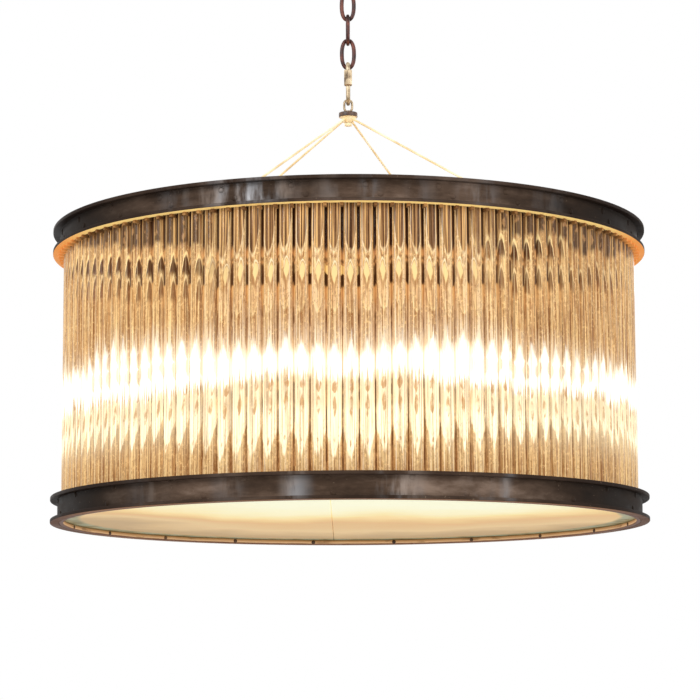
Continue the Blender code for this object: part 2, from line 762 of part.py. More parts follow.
def make_diffuser_panels(bodies):
    """Two frosted panels that meet in a straight seam and lie loose on the ledge."""
    radius = WEB_INNER_R - PANEL_PLAY
    for side, body in bodies.items():
        sign = -1.0 if side == "left" else 1.0
        chord = PANEL_SEAM_X + sign * PANEL_SEAM_GAP / 2
        half_angle = math.acos(sign * chord / radius)
        steps = RING_STEPS // 2
        rim = []
        for step in range(steps + 1):
            angle = -half_angle + 2 * half_angle * step / steps
            rim.append((sign * radius * math.cos(angle), radius * math.sin(angle)))
        panel = add_piece(f"diffuser_panel_{side}", flat_curve("panel", [rim], PANEL_T), frosted_glass)
        body.take(panel, (0.0, 0.0, panel_bottom + PANEL_T / 2))


# Electrical pieces


def make_junction_box(body):
    """Shallow cup under the frame's disc, which is its lid."""
    wall = BOX_R - BOX_WALL
    floor = BOX_WALL - BOX_H
    profile = [
        (BOX_R, -SEAT), (BOX_R, floor), (wall, -BOX_H), (0.0, -BOX_H), (0.0, floor), (wall - BOX_WALL, floor),
        (wall, floor + BOX_WALL), (wall, -SEAT),
    ]
    box = add_piece("junction_box", turned_mesh(profile, PLATE_STEPS), dark_steel)
    body.take(box, (0.0, 0.0, arm_bottom))


def make_terminal_block(body):
    """Block with barriers between its ways, on the floor of the box."""
    floor = arm_bottom - BOX_H + BOX_WALL + SEAT
    block = box_mesh(TERMINAL_SIZE, (0.0, 0.0, TERMINAL_SIZE.z / 2))
    pitch = (TERMINAL_SIZE.x - TERMINAL_BARRIER_T) / TERMINAL_WAYS
    size = (TERMINAL_BARRIER_T, TERMINAL_SIZE.y, TERMINAL_BARRIER_H + SINK)
    height = TERMINAL_SIZE.z + (TERMINAL_BARRIER_H - SINK) / 2
    barriers = [
        box_mesh(size, ((index - TERMINAL_WAYS / 2) * pitch, 0.0, height))
        for index in range(TERMINAL_WAYS + 1)
    ]
    piece = add_piece("terminal_block", joined(block, *barriers), terminal_plastic)
    body.take(piece, (0.0, 0.0, floor))


def make_cable_gland(body):
    """Gland on the disc, for the supply cable: a hexagon, a domed cap and a stem into the box."""
    hexagon = rod_mesh(GLAND_R, SEAT, SEAT + GLAND_H, 6)
    top = SEAT + GLAND_H + GLAND_CAP_H
    cap = turned_mesh([
        (0.0, top), (GLAND_CAP_R - GLAND_CAP_H / 4, top), (GLAND_CAP_R, top - GLAND_CAP_H / 2),
        (GLAND_CAP_R, SEAT + GLAND_H / 2), (GLAND_STEM_R, SEAT + GLAND_H / 4),
        (GLAND_STEM_R, -ARM_T - GLAND_STEM_L / 2), (0.0, -ARM_T - GLAND_STEM_L / 2),
    ])
    bore = rod_mesh(GLAND_BORE_R, -ARM_T - GLAND_STEM_L, top + OVERRUN)
    piece = add_piece("cable_gland", cut(joined(hexagon, cap), bore), bakelite)
    body.take(piece, (0.0, 0.0, arm_top))


def make_lampholder(body, index, azimuth):
    """Hollow stem through the arm, with a collar above it and a deep cup below."""
    top = arm_top + SEAT + STEM_COLLAR_H - arm_bottom
    shoulder = -STEM_DROP - HOLDER_SHOULDER
    bottom = -STEM_DROP - HOLDER_H
    bore_top = bottom + HOLDER_BORE_DEPTH
    profile = [
        (STEM_COLLAR_R, top), (STEM_COLLAR_R, arm_top - arm_bottom + SEAT),
        (STEM_R, arm_top - arm_bottom + SEAT),
        (STEM_R, -STEM_DROP), (HOLDER_R, shoulder), (HOLDER_R, bottom), (HOLDER_BORE_R, bottom),
        (HOLDER_BORE_R, bore_top), (STEM_BORE_R, bore_top), (STEM_BORE_R, top),
    ]
    piece = add_piece(f"lampholder_{index + 1}", turned_mesh(profile, LAMP_STEPS), bakelite)
    body.take(piece, around(LAMP_R, azimuth, arm_bottom))


def make_bulb(body, index, azimuth):
    """Round bulb hanging cap up, its cap in the holder."""
    length = BULB_L
    globe = -length + BULB_R
    neck = -CAP_L - CAP_TIP_L
    turns = [math.radians(angle) for angle in (35, 5, -25, -55)]
    profile = [
        (0.0, 0.0), (CAP_TIP_R, 0.0), (CAP_TIP_R, -CAP_TIP_L), (CAP_R, -CAP_TIP_L), (CAP_R, neck),
        (BULB_NECK_R - SEAT, neck - HOLDER_SHOULDER),
    ]
    profile += [(BULB_R * math.cos(turn), globe + BULB_R * math.sin(turn)) for turn in turns]
    profile.append((0.0, -length))
    piece = add_piece(f"bulb_{index + 1}", turned_mesh(profile, LAMP_STEPS), bulb_glass)
    body.take(piece, around(LAMP_R, azimuth, bulb_top))


def make_lead(body, index, azimuth):
    """Lead that comes up out of the box, lies along the arm and goes down into the lampholder's stem."""
    lying = LEAD_D / 2 + SEAT
    crest = SEAT + STEM_COLLAR_H + LEAD_RISE
    line = [
        (LEAD_R, -ARM_T - BOX_H / 3), (LEAD_R, LEAD_D), (LEAD_R + LEAD_D, lying + LEAD_D),
        (LEAD_R + 3 * LEAD_D, lying), (LAMP_R - 5 * LEAD_D, lying), (LAMP_R - 2 * LEAD_D, crest - LEAD_D / 2),
        (LAMP_R - LEAD_D, crest), (LAMP_R - LEAD_D / 4, crest - LEAD_D / 4), (LAMP_R, crest - LEAD_D),
        (LAMP_R, -ARM_T - STEM_DROP / 2),
    ]
    points = [(reach, 0.0, height) for reach, height in line]
    piece = add_piece(f"lamp_lead_{index + 1}", tube_curve("lead", points, LEAD_D), lead_sheath)
    body.take(piece, (0.0, 0.0, arm_top), outward(azimuth))


def build():
    ceiling = Body("ceiling", (0.0, 0.0, 0.0))
    make_ceiling_plate(ceiling)
    make_ceiling_loop(ceiling)
    above = ceiling
    for index in range(CHAIN_LINKS):
        wire = LOOP_WIRE if index == 0 else CHAIN_WIRE
        pivot = chain_top - index * chain_pitch - CHAIN_WIRE - SEAT - wire / 2
        above = Body(f"link_{index + 1}", (0.0, 0.0, pivot), above)
        make_chain_link(above, index)
    quick = Body("quick_link", (0.0, 0.0, chain_bottom + CHAIN_WIRE / 2), above)
    make_quick_link(quick)
    make_quick_link_sleeve(Body("sleeve", (0.0, -(QUICK_W - QUICK_WIRE) / 2, quick_top - SLEEVE_TOP), quick))
    fixture = Body("fixture", (0.0, 0.0, quick_bottom + QUICK_WIRE / 2), quick)
    make_hub_eye(fixture)
    make_hub_disc(fixture)
    make_wires(fixture)
    make_wire_lugs(fixture)
    make_rings(fixture)
    make_rod_comb(fixture)
    make_rod_sectors(fixture)
    make_tie_posts(fixture)
    make_lamp_frame(fixture)
    make_diffuser_ledge(fixture)
    panels = {side: Body("panel_" + side, (0.0, 0.0, panel_bottom), fixture) for side in ("left", "right")}
    make_diffuser_panels(panels)
    make_junction_box(fixture)
    make_terminal_block(fixture)
    make_cable_gland(fixture)
    for index, azimuth in enumerate(arm_azimuths()):
        make_lampholder(fixture, index, azimuth)
        make_lead(fixture, index, azimuth)
        bulb = Body(f"bulb_{index + 1}", around(LAMP_R, azimuth, bulb_top), fixture)
        make_bulb(bulb, index, azimuth)


build()
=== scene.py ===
import math
import random

import bmesh
import bpy
from mathutils import Matrix, Vector


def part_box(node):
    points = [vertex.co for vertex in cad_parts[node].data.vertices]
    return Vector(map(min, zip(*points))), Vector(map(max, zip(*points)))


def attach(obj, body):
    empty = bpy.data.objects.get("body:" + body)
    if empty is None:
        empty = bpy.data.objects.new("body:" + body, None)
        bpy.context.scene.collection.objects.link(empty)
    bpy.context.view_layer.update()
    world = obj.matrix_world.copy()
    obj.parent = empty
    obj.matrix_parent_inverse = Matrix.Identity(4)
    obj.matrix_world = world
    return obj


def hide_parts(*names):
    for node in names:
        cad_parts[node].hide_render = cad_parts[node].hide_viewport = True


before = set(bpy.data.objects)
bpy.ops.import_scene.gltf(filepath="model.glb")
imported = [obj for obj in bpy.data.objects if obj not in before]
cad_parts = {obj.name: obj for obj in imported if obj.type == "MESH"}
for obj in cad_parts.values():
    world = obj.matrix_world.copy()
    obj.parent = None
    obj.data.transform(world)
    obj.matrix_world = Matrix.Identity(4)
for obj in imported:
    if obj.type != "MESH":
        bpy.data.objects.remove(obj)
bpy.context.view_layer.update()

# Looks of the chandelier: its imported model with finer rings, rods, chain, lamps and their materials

MM = 0.001

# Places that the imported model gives
bottom_ring_low, bottom_ring_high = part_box("bottom_ring")
top_ring_low, top_ring_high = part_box("top_ring")
drum_bottom = bottom_ring_low.z
drum_top = top_ring_high.z
flange_r = bottom_ring_high.x
rail_low, rod_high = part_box("rod_sector_01")
comb_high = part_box("rod_comb")[1]
ledge_low, ledge_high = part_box("diffuser_ledge")
panel_low, panel_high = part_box("diffuser_panel_right")
hub_low, hub_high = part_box("hub_disc")
plate_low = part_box("ceiling_plate")[0]

# Sizes of the rings, rods and fittings
FLANGE_T = 4.5 * MM
FLANGE_OVERHANG = 9.6 * MM
WEB_T = 2.5 * MM
web_r = flange_r - FLANGE_OVERHANG
web_inner_r = web_r - WEB_T
ROD_COUNT = 120
ROD_D = 15.8 * MM
ROD_TO_WEB = 2.4 * MM
rod_line_r = web_inner_r - ROD_TO_WEB - ROD_D / 2
ROD_PHASE = math.radians(0.3)
SECTORS = 12
RAIL_H = 14.5 * MM
RAIL_T = 3.5 * MM
RAIL_LEG_T = 2.5 * MM
RAIL_INNER_R = 354 * MM
RAIL_TO_WEB = 0.8 * MM
LEDGE_T = 5.2 * MM
RING_STEPS = 240

# Camera fitted to the photograph
CAMERA_DISTANCE = 3479.5 * MM
CAMERA_BELOW_DRUM = 269.4 * MM
CAMERA_PITCH = math.radians(98.274)
CAMERA_ROLL = math.radians(-0.248)
SENSOR = 36.0
LENS = 133.55
PICTURE_SHIFT = 0.0011


def srgb(red, rail_shadow_tones, blue):
    """Linear colour of an 8-bit screen colour."""
    def linear(value):
        share = value / 255
        return share / 12.92 if share <= 0.04045 else ((share + 0.055) / 1.055) ** 2.4
    return (linear(red), linear(rail_shadow_tones), linear(blue))


def around(radius, azimuth, height=0.0):
    """Point at this distance from the axis; azimuth 0 faces the camera and grows towards +X."""
    return Vector((radius * math.sin(azimuth), -radius * math.cos(azimuth), height))


# Materials


class Paint:
    """A Principled material, with short calls for the nodes that feed it."""

    def __init__(self, name, roughness=0.5, metallic=0.0, shine=0.5):
        self.material = bpy.data.materials.new(name)
        self.material.use_nodes = True
        self.nodes = self.material.node_tree.nodes
        self.links = self.material.node_tree.links
        self.shader = self.nodes["Principled BSDF"]
        self.set("Roughness", roughness)
        self.set("Metallic", metallic)
        self.set("Specular IOR Level", shine)
        self.place = self.nodes.new("ShaderNodeTexCoord").outputs["Object"]

    def feed(self, socket, value):
        """Links a socket's output, or writes a plain number or a screen colour."""
        if isinstance(value, bpy.types.NodeSocket):
            self.links.new(value, socket)
        elif socket.type == "RGBA":
            socket.default_value = (*srgb(*value), 1.0)
        else:
            socket.default_value = value

    def set(self, name, value):
        self.feed(self.shader.inputs[name], value)

    def math(self, operation, first, second=0.0):
        node = self.nodes.new("ShaderNodeMath")
        node.operation = operation
        self.feed(node.inputs[0], first)
        self.feed(node.inputs[1], second)
        return node.outputs[0]

    def add(self, first, second):
        return self.math("ADD", first, second)

    def sub(self, first, second):
        return self.math("SUBTRACT", first, second)

    def mul(self, first, second):
        return self.math("MULTIPLY", first, second)

    def div(self, first, second):
        return self.math("DIVIDE", first, second)

    def most(self, first, second):
        return self.math("MAXIMUM", first, second)

    def size(self, value):
        return self.math("ABSOLUTE", value)

    def swing(self, noise, reach):
        """Noise about its middle value, as wide as reach."""
        return self.mul(self.sub(noise, 0.5), reach)

    def axis(self, index):
        """One coordinate of the object's own place."""
        node = self.nodes.new("ShaderNodeSeparateXYZ")
        self.feed(node.inputs[0], self.place)
        return node.outputs[index]

    def off_axis(self):
        """Distance from the drum's axis."""
        squares = [self.math("POWER", self.axis(index), 2.0) for index in (0, 1)]
        return self.math("SQRT", self.add(*squares))

    def ramp(self, value, low, high, start=0.0, end=1.0):
        """Smooth step of the value from start at low to end at high."""
        node = self.nodes.new("ShaderNodeMapRange")
        node.interpolation_type = "SMOOTHSTEP"
        for slot, number in enumerate((value, low, high, start, end)):
            self.feed(node.inputs[slot], number)
        return node.outputs[0]

    def fall(self, value, low, high):
        """Smooth step from 1 at low to 0 at high."""
        return self.ramp(value, low, high, 1.0, 0.0)

    def bump_of(self, value, centre, width):
        """1 at the centre, falling smoothly to 0 at a width from it."""
        return self.fall(self.size(self.sub(value, centre)), 0.0, width)

    def noise(self, scale, detail=3.0, stretch=(1.0, 1.0, 1.0), roughness=0.5):
        mapping = self.nodes.new("ShaderNodeMapping")
        self.feed(mapping.inputs["Vector"], self.place)
        mapping.inputs["Scale"].default_value = stretch
        node = self.nodes.new("ShaderNodeTexNoise")
        self.feed(node.inputs["Vector"], mapping.outputs[0])
        node.inputs["Scale"].default_value = scale
        node.inputs["Detail"].default_value = detail
        node.inputs["Roughness"].default_value = roughness
        return node.outputs["Fac"]

    def colours(self, value, stops):
        """Colour ramp of (place, screen colour) stops."""
        node = self.nodes.new("ShaderNodeValToRGB")
        self.feed(node.inputs[0], value)
        elements = node.color_ramp.elements
        while len(elements) < len(stops):
            elements.new(1.0)
        for element, (place, colour) in zip(elements, stops):
            element.position = place
            element.color = (*srgb(*colour), 1.0)
        return node.outputs[0]

    def mix(self, share, first, second, kind="RGBA"):
        """Colour between two colours, or with the kind FLOAT a number between two numbers."""
        node = self.nodes.new("ShaderNodeMix")
        node.data_type = kind
        sockets = [socket for socket in node.inputs if socket.enabled]
        for socket, value in zip(sockets, (share, first, second)):
            self.feed(socket, value)
        return next(socket for socket in node.outputs if socket.enabled)

    def tones(self, value, scene, top):
        """Colour ramp over a list of heights with screen colours."""
        return self.colours(self.div(value, top), [(height / top, tone) for height, tone in scene])

    def attribute(self, name):
        node = self.nodes.new("ShaderNodeAttribute")
        node.attribute_name = name
        return node.outputs["Fac"]

    def relief(self, height, distance, strength=1.0):
        node = self.nodes.new("ShaderNodeBump")
        node.inputs["Strength"].default_value = strength
        node.inputs["Distance"].default_value = distance
        self.feed(node.inputs["Height"], height)
        self.set("Normal", node.outputs[0])

    def glow(self, colour, strength):
        self.set("Emission Color", colour)
        self.set("Emission Strength", strength)

    def lit(self, tones, strength):
        """Base colour and glow of the same tones."""
        self.set("Base Color", tones)
        self.glow(tones, strength)


# (azimuth, half width in degrees, strength) of the places where the rings' dark finish has worn to bare grey
TOP_WEAR = (
    (-19, 13, 1.0), (-33, 6, 0.35), (-3, 5, 0.3), (4, 3, 0.6), (13, 4, 0.25), (24, 6, 0.5), (40, 8, 0.3),
)
BOTTOM_WEAR = ((-40, 7, 0.3), (-22, 5, 0.3), (-9.5, 4, 0.8), (8.5, 7, 0.9), (23.5, 4, 0.8), (29, 2, 0.7))


def ring_paint(name, wear, low, bottom_glow, glow):
    """Dark, worn paint: cloudy brown-black, bare grey rubbed places, painted shade towards the drum's sides,
    and painted lamplight on the lower flange.
    """
    mat = Paint(name, shine=0.04)
    clouds = mat.noise(9.0, 6.0, (1.0, 1.0, 3.0), 0.62)
    base = mat.colours(clouds, (
        (0.32, (50, 38, 30)), (0.46, (80, 63, 51)), (0.58, (108, 88, 74)), (0.72, (150, 128, 112)),
    ))
    azimuth = mat.math("ARCTAN2", mat.axis(0), mat.mul(mat.axis(1), -1.0))
    azimuth = mat.mul(azimuth, math.degrees(1.0))
    rubbed = 0.0
    for centre, width, strength in wear:
        bump = mat.mul(mat.bump_of(azimuth, centre, width), strength)
        rubbed = mat.most(rubbed, bump)
    smear = mat.ramp(mat.noise(30.0, 5.0, (1.0, 1.0, 0.25), 0.6), 0.40, 0.60)
    rubbed = mat.mul(rubbed, smear)
    grey = mat.mix(mat.ramp(mat.noise(14.0), 0.42, 0.6), (138, 138, 140), (176, 160, 148))
    base = mat.mix(rubbed, base, grey)
    # Painted shade: the paint darkens towards the drum's left and right ends, away from its front and back.
    sideways = mat.size(azimuth)
    sideways = mat.math("MINIMUM", sideways, mat.sub(180.0, sideways))
    base = mat.mix(mat.ramp(sideways, 24.0, 60.0, 0.0, 0.92), base, (26, 19, 14))
    rim = mat.ramp(mat.off_axis(), web_r + MM, web_r + 3 * MM)
    base = mat.mix(mat.mul(rim, 0.6), base, (44, 32, 26))
    specks = mat.ramp(mat.noise(260.0, 2.0), 0.70, 0.76)
    base = mat.mix(mat.mul(specks, 0.35), base, (150, 128, 108))
    # Painted lamplight on the flange's downward faces, warmer towards the drum's sides; these faces glow.
    height = mat.sub(mat.axis(2), low)
    geometry = mat.nodes.new("ShaderNodeNewGeometry")
    facing = mat.nodes.new("ShaderNodeSeparateXYZ")
    mat.feed(facing.inputs[0], geometry.outputs["Normal"])
    downward = mat.ramp(mat.mul(facing.outputs[2], -1.0), 0.55, 0.95)
    lowest = mat.ramp(height, FLANGE_T * 0.3, FLANGE_T * 0.5, 1.0, 0.0)
    under = mat.mul(downward, lowest)
    side = mat.ramp(mat.size(mat.axis(0)), 0.80 * flange_r, 0.97 * flange_r)
    lamp = mat.mix(side, *bottom_glow)
    mat.set("Base Color", mat.mix(under, base, lamp))
    mat.set("Metallic", mat.mul(rubbed, 0.7))
    mat.set("Roughness", mat.ramp(clouds, 0.3, 0.7, 0.40, 0.62))
    mat.glow(lamp, mat.mul(under, glow))
    mat.relief(mat.noise(60.0, 5.0, (1.0, 1.0, 0.6)), 0.5 * MM, 0.35)
    return mat.material


# Painted light and shade of what lies behind the rods, as (height on the far side in metres, screen colour)
FAR_SCENE = (
    (0.098, (196, 144, 86)), (0.125, (224, 188, 132)), (0.200, (226, 190, 138)), (0.240, (216, 178, 132)),
    (0.300, (206, 166, 124)), (0.336, (204, 158, 108)),
    (0.348, (180, 128, 76)), (0.353, (248, 210, 150)), (0.359, (226, 180, 124)), (0.378, (226, 178, 124)),
    (0.391, (236, 190, 130)), (0.396, (198, 146, 88)), (0.404, (214, 164, 100)), (0.418, (222, 172, 108)),
    (0.426, (244, 206, 140)), (0.431, (164, 112, 66)), (0.436, (206, 152, 94)), (0.441, (255, 226, 172)),
    (0.448, (158, 110, 68)), (0.453, (104, 68, 42)),
)
FAR_SCENE_TOP = 0.500

# Painted light and shade of what shows between two rods, as (height on the rods in metres, screen colour)
GAP_SCENE = (
    (0.000, (150, 98, 54)), (0.090, (112, 70, 38)), (0.150, (104, 64, 34)), (0.160, (190, 150, 104)),
    (0.186, (190, 150, 104)), (0.196, (150, 98, 54)), (0.226, (132, 84, 46)), (0.238, (200, 150, 92)),
    (0.256, (218, 168, 106)), (0.2605, (206, 152, 90)), (0.263, (78, 46, 22)), (0.274, (78, 46, 22)),
    (0.277, (96, 60, 32)), (0.286, (96, 60, 32)), (0.289, (208, 156, 96)), (0.293, (104, 64, 34)),
    (0.297, (208, 156, 96)), (0.303, (196, 142, 86)), (0.310, (58, 28, 12)), (0.362, (44, 22, 10)),
)
GAP_SCENE_TOP = 0.380

# A glance from the front starts this far below the drum and climbs by this share on its way through it
GLANCE_LOW = 0.2694
GLANCE_CLIMB = 0.242
GLASS_INDEX = 1.5
BEND = 2.5  # how strongly a rod turns a glance off its middle
SIDE_LIFT = 0.060  # rise of the far side's picture towards the ends, in metres
LEVEL_DROP = 0.065  # fall of the marks' heights towards the ends, in metres
RIGHT_FLANK = (0.32, 0.46)  # turn in radians over which the right flank's marks change
RIGHT_END = (0.72, 0.90)

# Painted arches of light on the flanks, with painted shade inside them, as (top, steepness, foot, line's
# width, drop on the right flank, share of the inside, its colour, share of the line, its colour); heights in
# metres
UPPER_ARCH = (0.299, 0.075, 0.268, 0.0055, 0.019, 0.92, (84, 48, 26), 1.0, (255, 224, 160))
LOWER_ARCH = (0.271, 0.140, 0.236, 0.0045, 0.010, 0.72, (118, 76, 44), 0.9, (255, 222, 162))

# Tongues of light on the middle rods, as (top, lower end, share, colour)
TONGUES = ((0.298, 0.250, 0.55, (168, 116, 70)), (0.292, 0.261, 0.85, (252, 220, 154)))
TONGUE_SLANT = 0.036  # how much higher they end at the rod's sides, in metres


def lens_marks(mat, side, level, turn, flank):
    """Painted light and shade: small pictures of the lamps and arms in each rod, as (share, colour) layers
    from the lowest up.
    """
    leaning = mat.add(side, mat.mul(mat.math("SINE", turn), 0.45))
    squared = mat.mul(leaning, leaning)
    middle = mat.sub(1.0, flank)
    lift = mat.ramp(turn, *RIGHT_FLANK)
    layers = []

    def arch(top, steep, foot, width, raised=0.0):
        own_level = mat.sub(level, mat.mul(lift, raised))
        curve = mat.add(own_level, mat.mul(squared, steep))
        above = mat.ramp(own_level, foot, foot + 0.012)
        line = mat.mul(mat.bump_of(curve, top, width), above)
        inside = mat.mul(mat.fall(curve, top - 0.006, top - 0.001), above)
        return line, inside

    upper = mat.mul(flank, mat.fall(turn, *RIGHT_END))
    for reach, mark in ((upper, UPPER_ARCH), (flank, LOWER_ARCH)):
        line, inside = arch(*mark[:5])
        inner_share, inner_colour, line_share, line_colour = mark[5:]
        layers.append((mat.mul(inside, mat.mul(reach, inner_share)), inner_colour))
        layers.append((mat.mul(line, mat.mul(reach, line_share)), line_colour))

    slope = mat.sub(level, mat.mul(mat.size(side), TONGUE_SLANT))
    for top, low, share, colour in TONGUES:
        line, inside = arch(top, 0.075, 0.200, 0.003)
        drop = mat.mul(inside, mat.ramp(slope, low, low + 0.005))
        layers.append((mat.mul(drop, mat.mul(middle, share)), colour))
    cap = mat.mul(line, mat.ramp(level, 0.278, 0.284))
    layers.append((mat.mul(cap, mat.mul(middle, 0.8)), (255, 240, 196)))
    return layers


def lamp_light(mat, side, seen, height, streaks, grain):
    """Shares of the lit belt, of the cups of light below it, of the drops in them, and of the belt's halo."""
    level = mat.add(height, mat.swing(mat.attribute("chance"), 0.010))
    level = mat.add(level, mat.swing(grain, 0.016))
    ragged = mat.add(level, mat.swing(streaks, 0.070))
    slant = mat.mul(mat.sub(level, 0.095), mat.mul(mat.attribute("lean"), 18.0))
    across = mat.sub(mat.add(seen, mat.swing(grain, 0.30)), slant)
    off = mat.size(seen)
    leaning_off = mat.size(across)

    def lens(distance, wide, centre, tall):
        """Upright drop, pointed above and below."""
        upright = mat.div(mat.sub(level, centre), tall)
        reach = mat.add(mat.div(distance, wide), mat.mul(upright, upright))
        return mat.fall(reach, 0.70, 1.15)

    peak = mat.ramp(off, 0.0, 0.65, 0.011, 0.0)
    high = mat.attribute("high")
    low = mat.attribute("low")
    below_top = mat.fall(mat.sub(mat.sub(ragged, peak), high), -0.011, 0.004)
    near = mat.mul(mat.ramp(mat.sub(ragged, low), -0.004, 0.004), below_top)
    halo = mat.ramp(mat.sub(level, high), -0.004, 0.040, 0.9, 0.0)
    halo = mat.mul(halo, mat.ramp(streaks, 0.46, 0.60, 0.10, 1.0))
    halo = mat.mul(halo, mat.ramp(mat.sub(level, low), -0.008, 0.0))
    edge = mat.sub(1.0, off)
    notches = mat.most(lens(edge, 0.62, 0.167, 0.011), lens(edge, 0.55, 0.187, 0.012))
    near = mat.mul(near, mat.sub(1.0, mat.mul(notches, mat.attribute("columns"))))
    near = mat.mul(near, mat.ramp(mat.size(side), 0.86, 0.97, 1.0, 0.35))
    near = mat.mul(near, mat.ramp(streaks, 0.40, 0.50, mat.mul(mat.attribute("lit"), 0.72), 1.0))

    foot = mat.add(mat.attribute("tip"), mat.mul(leaning_off, mat.attribute("steep")))
    depth = mat.add(mat.sub(level, foot), mat.swing(streaks, 0.030))
    cup = mat.mul(mat.ramp(depth, -0.005, 0.005), mat.ramp(level, 0.106, 0.124, 0.95, 0.64))
    cup = mat.mul(cup, mat.fall(level, mat.sub(high, 0.020), high))
    vein = mat.most(mat.bump_of(depth, 0.009, 0.0018), mat.bump_of(depth, 0.019, 0.0015))
    cup = mat.mul(cup, mat.sub(1.0, mat.mul(vein, 0.45)))
    cup = mat.mul(cup, mat.ramp(streaks, 0.42, 0.50, 0.40, 1.0))
    cup = mat.mul(cup, mat.ramp(mat.size(side), 0.84, 0.95, 1.0, 0.15))
    drops = lens(leaning_off, 0.12, 0.073, 0.0045)
    for mark in ((0.30, 0.117, 0.014), (0.38, 0.141, 0.009)):
        drops = mat.most(drops, lens(leaning_off, *mark))
    drops = mat.mul(drops, mat.ramp(grain, 0.36, 0.56, 0.25, 0.90))
    cup = mat.mul(cup, mat.sub(1.0, drops))
    return near, cup, mat.mul(drops, 0.6), halo


def rod_paint():
    """Glass painted with what the rods show, as painted light and shade: the far side and the lamps' belt
    there, bent into curves by each rod.
    """
    mat = Paint("rod_glass", roughness=0.05, shine=0.08)
    grain = mat.noise(170.0, 4.0, (1.0, 1.0, 0.5))
    height = mat.sub(mat.axis(2), drum_bottom)
    wander = mat.add(mat.swing(grain, 0.012), mat.swing(mat.attribute("chance"), 0.009))
    shifted = mat.add(height, wander)
    side = mat.attribute("side")
    off_centre = mat.size(side)
    turn = mat.attribute("turn")
    turned = mat.sub(1.0, mat.math("COSINE", turn))
    flank = mat.ramp(turned, 0.060, 0.150)
    level = mat.sub(shifted, mat.mul(turned, LEVEL_DROP))
    # Sideways place as it looks from the front
    seen = mat.sub(side, mat.mul(mat.math("SINE", turn), 0.5))
    seen = mat.div(seen, mat.add(mat.mul(mat.math("COSINE", turn), 0.5), 0.45))

    # A ray from the front that meets the rod off its centre turns, so its way to the far side is shorter
    bent = mat.sub(mat.math("ARCSINE", side), mat.math("ARCSINE", mat.div(side, GLASS_INDEX)))
    heading = mat.sub(turn, mat.mul(bent, BEND))
    reach = mat.mul(mat.size(mat.math("COSINE", heading)), GLANCE_CLIMB)
    climb = mat.mul(mat.add(shifted, GLANCE_LOW), reach)
    far_height = mat.add(mat.add(shifted, climb), mat.mul(turned, SIDE_LIFT))
    # Painted picture of the far side's light and shade, where the bent ray meets it
    tones = mat.tones(far_height, FAR_SCENE, FAR_SCENE_TOP)
    tones = mat.mix(mat.mul(flank, 0.75), tones, (198, 146, 88))

    # Painted streaks of light and shade down the glass, clouds in it, and a painted picture of the dark room
    # over the far ring
    streaks = mat.noise(520.0, 3.0, (1.0, 1.0, 0.012), 0.6)
    light = mat.ramp(streaks, 0.51, 0.60, 0.0, mat.add(mat.mul(flank, 0.35), 0.50))
    dark = mat.ramp(streaks, 0.49, 0.40, 0.0, mat.add(mat.mul(flank, 0.20), 0.60))
    tones = mat.mix(light, tones, mat.mix(flank, (252, 226, 182), (248, 210, 146)))
    tones = mat.mix(dark, tones, (136, 90, 52))
    tones = mat.mix(mat.ramp(grain, 0.47, 0.34, 0.0, 0.40), tones, (150, 104, 64))
    # Painted fine threads and flecks of light and shade
    threads = mat.noise(1500.0, 2.0, (1.0, 1.0, 0.010), 0.6)
    flecks = mat.noise(420.0, 2.0, (1.0, 1.0, 0.6))
    for pattern, low, high, share, colour in (
        (threads, 0.55, 0.61, 0.60, (255, 224, 164)), (threads, 0.44, 0.38, 0.55, (136, 84, 42)),
        (flecks, 0.58, 0.66, 0.50, (252, 212, 146)), (flecks, 0.40, 0.33, 0.40, (140, 88, 44)),
    ):
        tones = mat.mix(mat.ramp(pattern, low, high, 0.0, share), tones, colour)
    # Painted picture of the dark room seen through the glass, with painted highlight lines at the rods' edges
    # and a darker core
    room = mat.colours(streaks, (
        (0.36, (52, 28, 14)), (0.44, (100, 66, 40)), (0.50, (140, 100, 64)), (0.56, (172, 126, 78)),
        (0.61, (240, 190, 120)),
    ))
    edge_line = mat.most(mat.bump_of(off_centre, 0.70, 0.12), mat.bump_of(side, -0.22, 0.07))
    room = mat.mix(mat.mul(edge_line, 0.75), room, (240, 192, 124))
    core = mat.mul(mat.fall(mat.size(seen), 0.36, 0.60), flank)
    core_tones = mat.mix(mat.ramp(grain, 0.54, 0.64), (58, 36, 24), (158, 116, 74))
    room = mat.mix(mat.mul(core, 0.86), room, core_tones)
    window_level = mat.sub(level, mat.mul(mat.ramp(turn, *RIGHT_FLANK), 0.013))
    window_level = mat.add(window_level, mat.mul(mat.ramp(turn, *RIGHT_END), 0.026))
    over = mat.mix(flank, mat.ramp(far_height, 0.444, 0.450), mat.ramp(window_level, 0.307, 0.316), "FLOAT")
    tones = mat.mix(mat.mul(over, 0.92), tones, room)
    for share, colour in lens_marks(mat, side, level, turn, flank):
        tones = mat.mix(share, tones, colour)

    # Painted pale lamplight low on the flank rods
    pale = mat.mul(flank, mat.ramp(height, 0.050, 0.110, 0.0, 0.40))
    pale = mat.mul(pale, mat.fall(height, 0.120, 0.150))
    tones = mat.mix(pale, tones, (250, 240, 204))

    glint = mat.most(mat.bump_of(seen, -0.62, 0.07), mat.bump_of(seen, 0.56, 0.05))
    glint = mat.mul(glint, mat.ramp(mat.noise(60.0, 3.0, (1.0, 1.0, 0.16)), 0.42, 0.60, 0.15, 0.75))
    tones = mat.mix(glint, tones, mat.mix(flank, (255, 238, 206), (255, 226, 168)))

